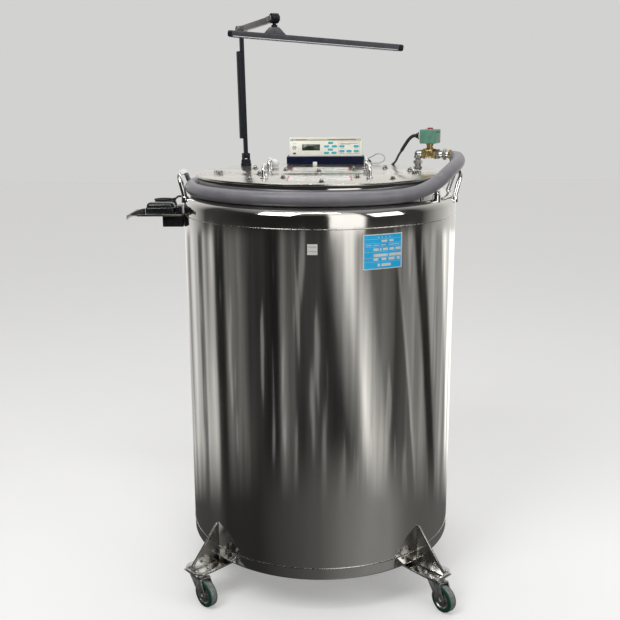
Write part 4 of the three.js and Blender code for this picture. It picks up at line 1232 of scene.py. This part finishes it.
piece("lamp_upper_arm", upper, arm_paint, "lamp_upper", ["upper_arm"])
knob = [cross_hub(knob_place, -11, 11, 12.6, 0, KNOB_Z)]
knob += [cross_hub(knob_place, y, y + 4, 14, 0, KNOB_Z) for y in (-11, -4.8, 1.2, 7)]
knob += [turned([(0, 1593), (5.5, 1593), (5.5, 1609), (0, 1609)], knob_place, 32),
         turned([(0, 1593), (9, 1593), (9, 1598), (8, 1599), (0, 1599)], knob_place, 40)]
piece("lamp_knob", knob, lamp_paint, "lamp_head", ["lamp_knuckle"])
print("lamp arms", round(lower_length), round(upper_length), "mm")

# %% [markdown]
# The light itself is a long flat channel under a small tapered mount. A pale diffuser is let
# into its underside, and both ends have rounded caps.

# %% Lamp bar
BAR_TILT = math.radians(5)
bar_place = (lamp_place @ Matrix.Translation((KNOB_X * MM, 0, 1592.7 * MM))
             @ Matrix.Rotation(-LAMP_TURN, 4, "Z"))
channel_place = bar_place @ Matrix.Translation((0, 0, -18.5 * MM)) @ Matrix.Rotation(BAR_TILT, 4,
                                                                                     "Y")
mount_outline = [(-34, -22), (34, -22), (14, -0.2), (-14, -0.2)]
mount = [plate(mount_outline, 28, 1.2, bar_place @ Matrix.Translation((0, 14 * MM, 0))
               @ Matrix.Rotation(math.radians(90), 4, "X"))]
piece("lamp_mount", mount, mount_paint, "lamp_light")
channel = [block((-120, -17, -15), (356, 17, 0), 2.0, 4, channel_place),
           block((-118, -17, -18), (354, -15, -14), 0.6, 2, channel_place),
           block((-118, 15, -18), (354, 17, -14), 0.6, 2, channel_place)]
piece("lamp_channel", channel, bar_paint, "lamp_light", ["lamp_bar"])
caps = [block((-132, -17, -18), (-114, 17, 0), 5.5, 6, channel_place),
        block((350, -17, -18), (368, 17, 0), 5.5, 6, channel_place)]
piece("lamp_end_caps", caps, lamp_paint, "lamp_light")
strip = [block((-115, -17.3, -16.2), (351, 17.3, -14.4), 0.5, 2, channel_place),
         block((-115, -14.6, -17.4), (351, 14.6, -14), 1.2, 3, channel_place)]
piece("lamp_diffuser", strip, diffuser, "lamp_light")
print("lamp bar", 500, "mm")

# %% [markdown]
# ## Insulation and small fittings
# The bright film round the inner vessel keeps its CAD shape and gets a crinkled foil. The small
# things on the plates come last: a disc over the split, a pale knob and a few screws.

# %% Insulation and small fittings
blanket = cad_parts["insulation_blanket"]
blanket.data.materials.clear()
blanket.data.materials.append(foil)
disc_profile = [(0, ON_PLATE), (11, ON_PLATE), (11, 1192), (10, 1193), (0, 1193.2)]
piece("lid_disc", [turned(disc_profile, standing(-4, -56), 48)], satin_steel, "lid")
knob_profile = [(0, ON_PLATE), (7, ON_PLATE), (7, 1199), (6, 1201), (0, 1201.5)]
piece("plate_knob", [turned(knob_profile, standing(-17, 235), 40)], cream_plastic, "vessel")
pairs = [screw(-268 + dx, 6, ON_PLATE, 3.4) for dx in (-8, 8)] + [screw(268 + dx, 60, ON_PLATE,
                                                                        3.4) for dx in (-8, 8)]
piece("plate_screws", pairs, chrome, "vessel")
print("small fittings made")

# %% [markdown]
# ## The room
# Polished steel has no look of its own: it shows the room. The room here is a world shader that
# knows only direction. One colour ramp gives the tones all round at the height the drum's wall
# mirrors, a second gives the floor's side and a third what hangs above. Noise stretched along
# the vertical adds door frames and shelves without naming any of them.

# %% Room tones
world = bpy.data.worlds.new("room")
bpy.context.scene.world = world
world.use_nodes = True
room_nodes = world.node_tree.nodes
room_links = world.node_tree.links


def room_math(operation, first, second=0.0):
    """A math node of the room, whose inputs are sockets or plain values."""
    node = room_nodes.new("ShaderNodeMath")
    node.operation = operation
    for socket, value in zip(node.inputs, (first, second)):
        if isinstance(value, bpy.types.NodeSocket):
            room_links.new(value, socket)
        else:
            socket.default_value = value
    return node.outputs[0]


def room_ramp(source, stops):
    """Tones round the room: (azimuth in degrees, tone) pairs, 0 towards the viewer, 90 right."""
    node = room_nodes.new("ShaderNodeValToRGB")
    ramp = node.color_ramp
    while len(ramp.elements) < len(stops):
        ramp.elements.new(0.5)
    for element, (azimuth, tone) in zip(ramp.elements, stops):
        element.position = azimuth / 360 + 0.5
        element.color = (tone, tone * 0.985, tone * 0.95, 1)
    room_links.new(source, node.inputs["Fac"])
    return node.outputs["Color"]


def room_mix(blend, factor, first, second):
    """A colour mix of the room."""
    node = room_nodes.new("ShaderNodeMix")
    node.data_type = "RGBA"
    node.blend_type = blend
    for socket, value in ((node.inputs[0], factor), (node.inputs[6], first),
                          (node.inputs[7], second)):
        if isinstance(value, bpy.types.NodeSocket):
            room_links.new(value, socket)
        else:
            socket.default_value = value
    return node.outputs[2]


def room_step(source, low, high):
    """Rises from 0 to 1 while the source goes from low to high."""
    node = room_nodes.new("ShaderNodeMapRange")
    node.inputs["From Min"].default_value = low
    node.inputs["From Max"].default_value = high
    room_links.new(source, node.inputs["Value"])
    return node.outputs["Result"]


print("room helpers ready")

# %% [markdown]
# ## Directions in the room
# A reflection looks up a tone by its heading round the room and its height, so both are worked
# out from the direction first.

# %% Directions in the room
direction = room_nodes.new("ShaderNodeTexCoord").outputs["Generated"]
split = room_nodes.new("ShaderNodeSeparateXYZ")
room_links.new(direction, split.inputs["Vector"])
towards = room_math("MULTIPLY", split.outputs["Y"], -1.0)
azimuth = room_math("ARCTAN2", split.outputs["X"], towards)
around_room = room_math("ADD", room_math("DIVIDE", azimuth, 2 * math.pi), 0.5)
height = split.outputs["Z"]

WALL_TONES = ((-180, 1.0), (-145, 0.62), (-124, 0.66), (-121, 0.13), (-115, 0.13), (-114, 0.52),
              (-98, 0.44),
              (-96, 0.03), (-87, 0.03), (-84, 0.16), (-70, 0.18), (-58, 0.06), (-55, 0.035),
              (-34, 0.035),
              (-31, 0.16), (-22, 0.16), (-19, 0.04), (3, 0.045), (8, 0.20), (15, 0.42), (22, 0.95),
              (31, 0.55),
              (41, 0.14), (65, 0.09), (66.5, 0.5), (68, 0.24), (84, 0.26), (87, 0.02), (96, 0.03),
              (99, 0.38),
              (122, 0.42), (128, 1.3))
FLOOR_TONES = ((-180, 0.14), (-159, 0.07), (-100, 0.06), (-90, 0.03), (-54, 0.03), (-33, 0.06),
               (0, 0.10),
               (20, 0.19), (42, 0.27), (64, 0.27), (80, 0.15), (95, 0.12), (160, 0.13), (180, 0.14))
HIGH_TONES = ((-180, 0.90), (-140, 0.82), (-122, 0.50), (-108, 0.06), (-60, 0.02), (7, 0.02),
              (10, 1.5),
              (36, 1.5), (39, 0.03), (92, 0.05), (112, 0.45), (140, 0.82), (180, 0.90))
right_half = room_step(around_room, 0.5, 0.53)
lean = room_math("MULTIPLY", room_math("ADD", height, 0.17), 0.29)
leaning = room_math("ADD", around_room, room_math("MULTIPLY", lean, right_half))
wall_tone = room_ramp(leaning, WALL_TONES)
floor_tone = room_ramp(around_room, FLOOR_TONES)
high_tone = room_ramp(around_room, HIGH_TONES)
print("room tones", len(WALL_TONES), len(FLOOR_TONES), len(HIGH_TONES))

# %% [markdown]
# Streaks multiply the wall's tones. The three zones are then joined by height, and the zenith is
# a soft bright ceiling. What the camera sees directly is only a plain pale backdrop.

# %% Streaks, zones and backdrop
squash = room_nodes.new("ShaderNodeMapping")
squash.inputs["Scale"].default_value = (1, 1, 0.16)
room_links.new(direction, squash.inputs["Vector"])
streaks = room_nodes.new("ShaderNodeTexNoise")
streaks.inputs["Scale"].default_value = 7.0
streaks.inputs["Detail"].default_value = 3.0
room_links.new(squash.outputs["Vector"], streaks.inputs["Vector"])
streak_tone = room_nodes.new("ShaderNodeMapRange")
for socket, value in (("From Min", 0.35), ("From Max", 0.65), ("To Min", 0.55), ("To Max", 1.5)):
    streak_tone.inputs[socket].default_value = value
room_links.new(streaks.outputs["Fac"], streak_tone.inputs["Value"])
wall_streaked = room_mix("MULTIPLY", 1.0, wall_tone, streak_tone.outputs["Result"])
wide_squash = room_nodes.new("ShaderNodeMapping")
wide_squash.inputs["Scale"].default_value = (1, 1, 0.7)
room_links.new(direction, wide_squash.inputs["Vector"])
patches = room_nodes.new("ShaderNodeTexNoise")
patches.inputs["Scale"].default_value = 8.0
patches.inputs["Detail"].default_value = 2.0
room_links.new(wide_squash.outputs["Vector"], patches.inputs["Vector"])
patch_tone = room_mix("MIX", room_step(patches.outputs["Fac"], 0.60, 0.66), (0, 0, 0, 1),
                      (0.22, 0.22, 0.215, 1))
wall_streaked = room_mix("ADD", 1.0, wall_streaked, patch_tone)
low_zone = room_mix("MIX", room_step(height, -0.43, -0.37), floor_tone, wall_streaked)
high_zone = room_mix("MIX", room_step(height, -0.153, -0.146), low_zone, high_tone)
CEILING = (0.42, 0.42, 0.41, 1)
whole_room = room_mix("MIX", room_step(height, 0.55, 0.95), high_zone, CEILING)
BACKDROP = (0.645, 0.645, 0.635, 1)
seen = room_nodes.new("ShaderNodeLightPath").outputs["Is Camera Ray"]
shown = room_mix("MIX", seen, whole_room, BACKDROP)
room_links.new(shown, room_nodes["Background"].inputs["Color"])
room_nodes["Background"].inputs["Strength"].default_value = 1.0
print("room nodes", len(room_nodes))

# %% [markdown]
# ## Floor and lights
# The floor is a wide pale sheet with a faint grain. The steel doesn't mirror it, since the room's
# lower tones already stand for a real floor. A large soft light from the upper left front models
# the forms, and two long tubes overhead draw bright lines on the shoulder and the handles.

# %% Floor and lights
floor_finish = finish("floor_finish", (0.80, 0.80, 0.80), (0.785, 0.785, 0.785), (0.75, 0.85),
                      scale=3.0, relief=0.05, relief_scale=300.0)
floor_shader = floor_finish.node_tree.nodes["Principled BSDF"]
floor_shader.inputs["Emission Color"].default_value = (1, 1, 1, 1)
floor_shader.inputs["Emission Strength"].default_value = 0.27
floor_mesh = bpy.data.meshes.new("floor_sheet")
floor_form = bmesh.new()
bmesh.ops.create_grid(floor_form, x_segments=4, y_segments=4, size=12)
floor_form.to_mesh(floor_mesh)
floor_form.free()
floor_mesh.materials.append(floor_finish)
floor_sheet = bpy.data.objects.new("floor_sheet", floor_mesh)
floor_sheet.visible_glossy = False
floor_sheet.visible_diffuse = False
bpy.context.scene.collection.objects.link(floor_sheet)


def lamp(name, spot, target, size, power, colour=(1, 1, 1)):
    """An area light that looks at a target."""
    data = bpy.data.lights.new(name, "AREA")
    data.shape = "RECTANGLE"
    data.size, data.size_y = size
    data.energy = power
    data.color = colour
    light = bpy.data.objects.new(name, data)
    light.location = spot
    light.rotation_euler = (Vector(target) - Vector(spot)).to_track_quat("-Z", "Y").to_euler()
    bpy.context.scene.collection.objects.link(light)
    return light


key_light = lamp("key_light", (-1.6, -2.2, 3.4), (0, 0, 0.9), (1.6, 1.6), 50)
tube_front = lamp("tube_front", (-0.1, -1.5, 3.1), (0, -0.2, 1.0), (1.5, 0.07), 9)
tube_back = lamp("tube_back", (0.1, 0.6, 3.3), (0, 0.2, 1.0), (2.2, 0.10), 9)
fill_light = lamp("fill_light", (2.4, -1.6, 2.2), (0, 0, 0.8), (1.4, 1.4), 16)
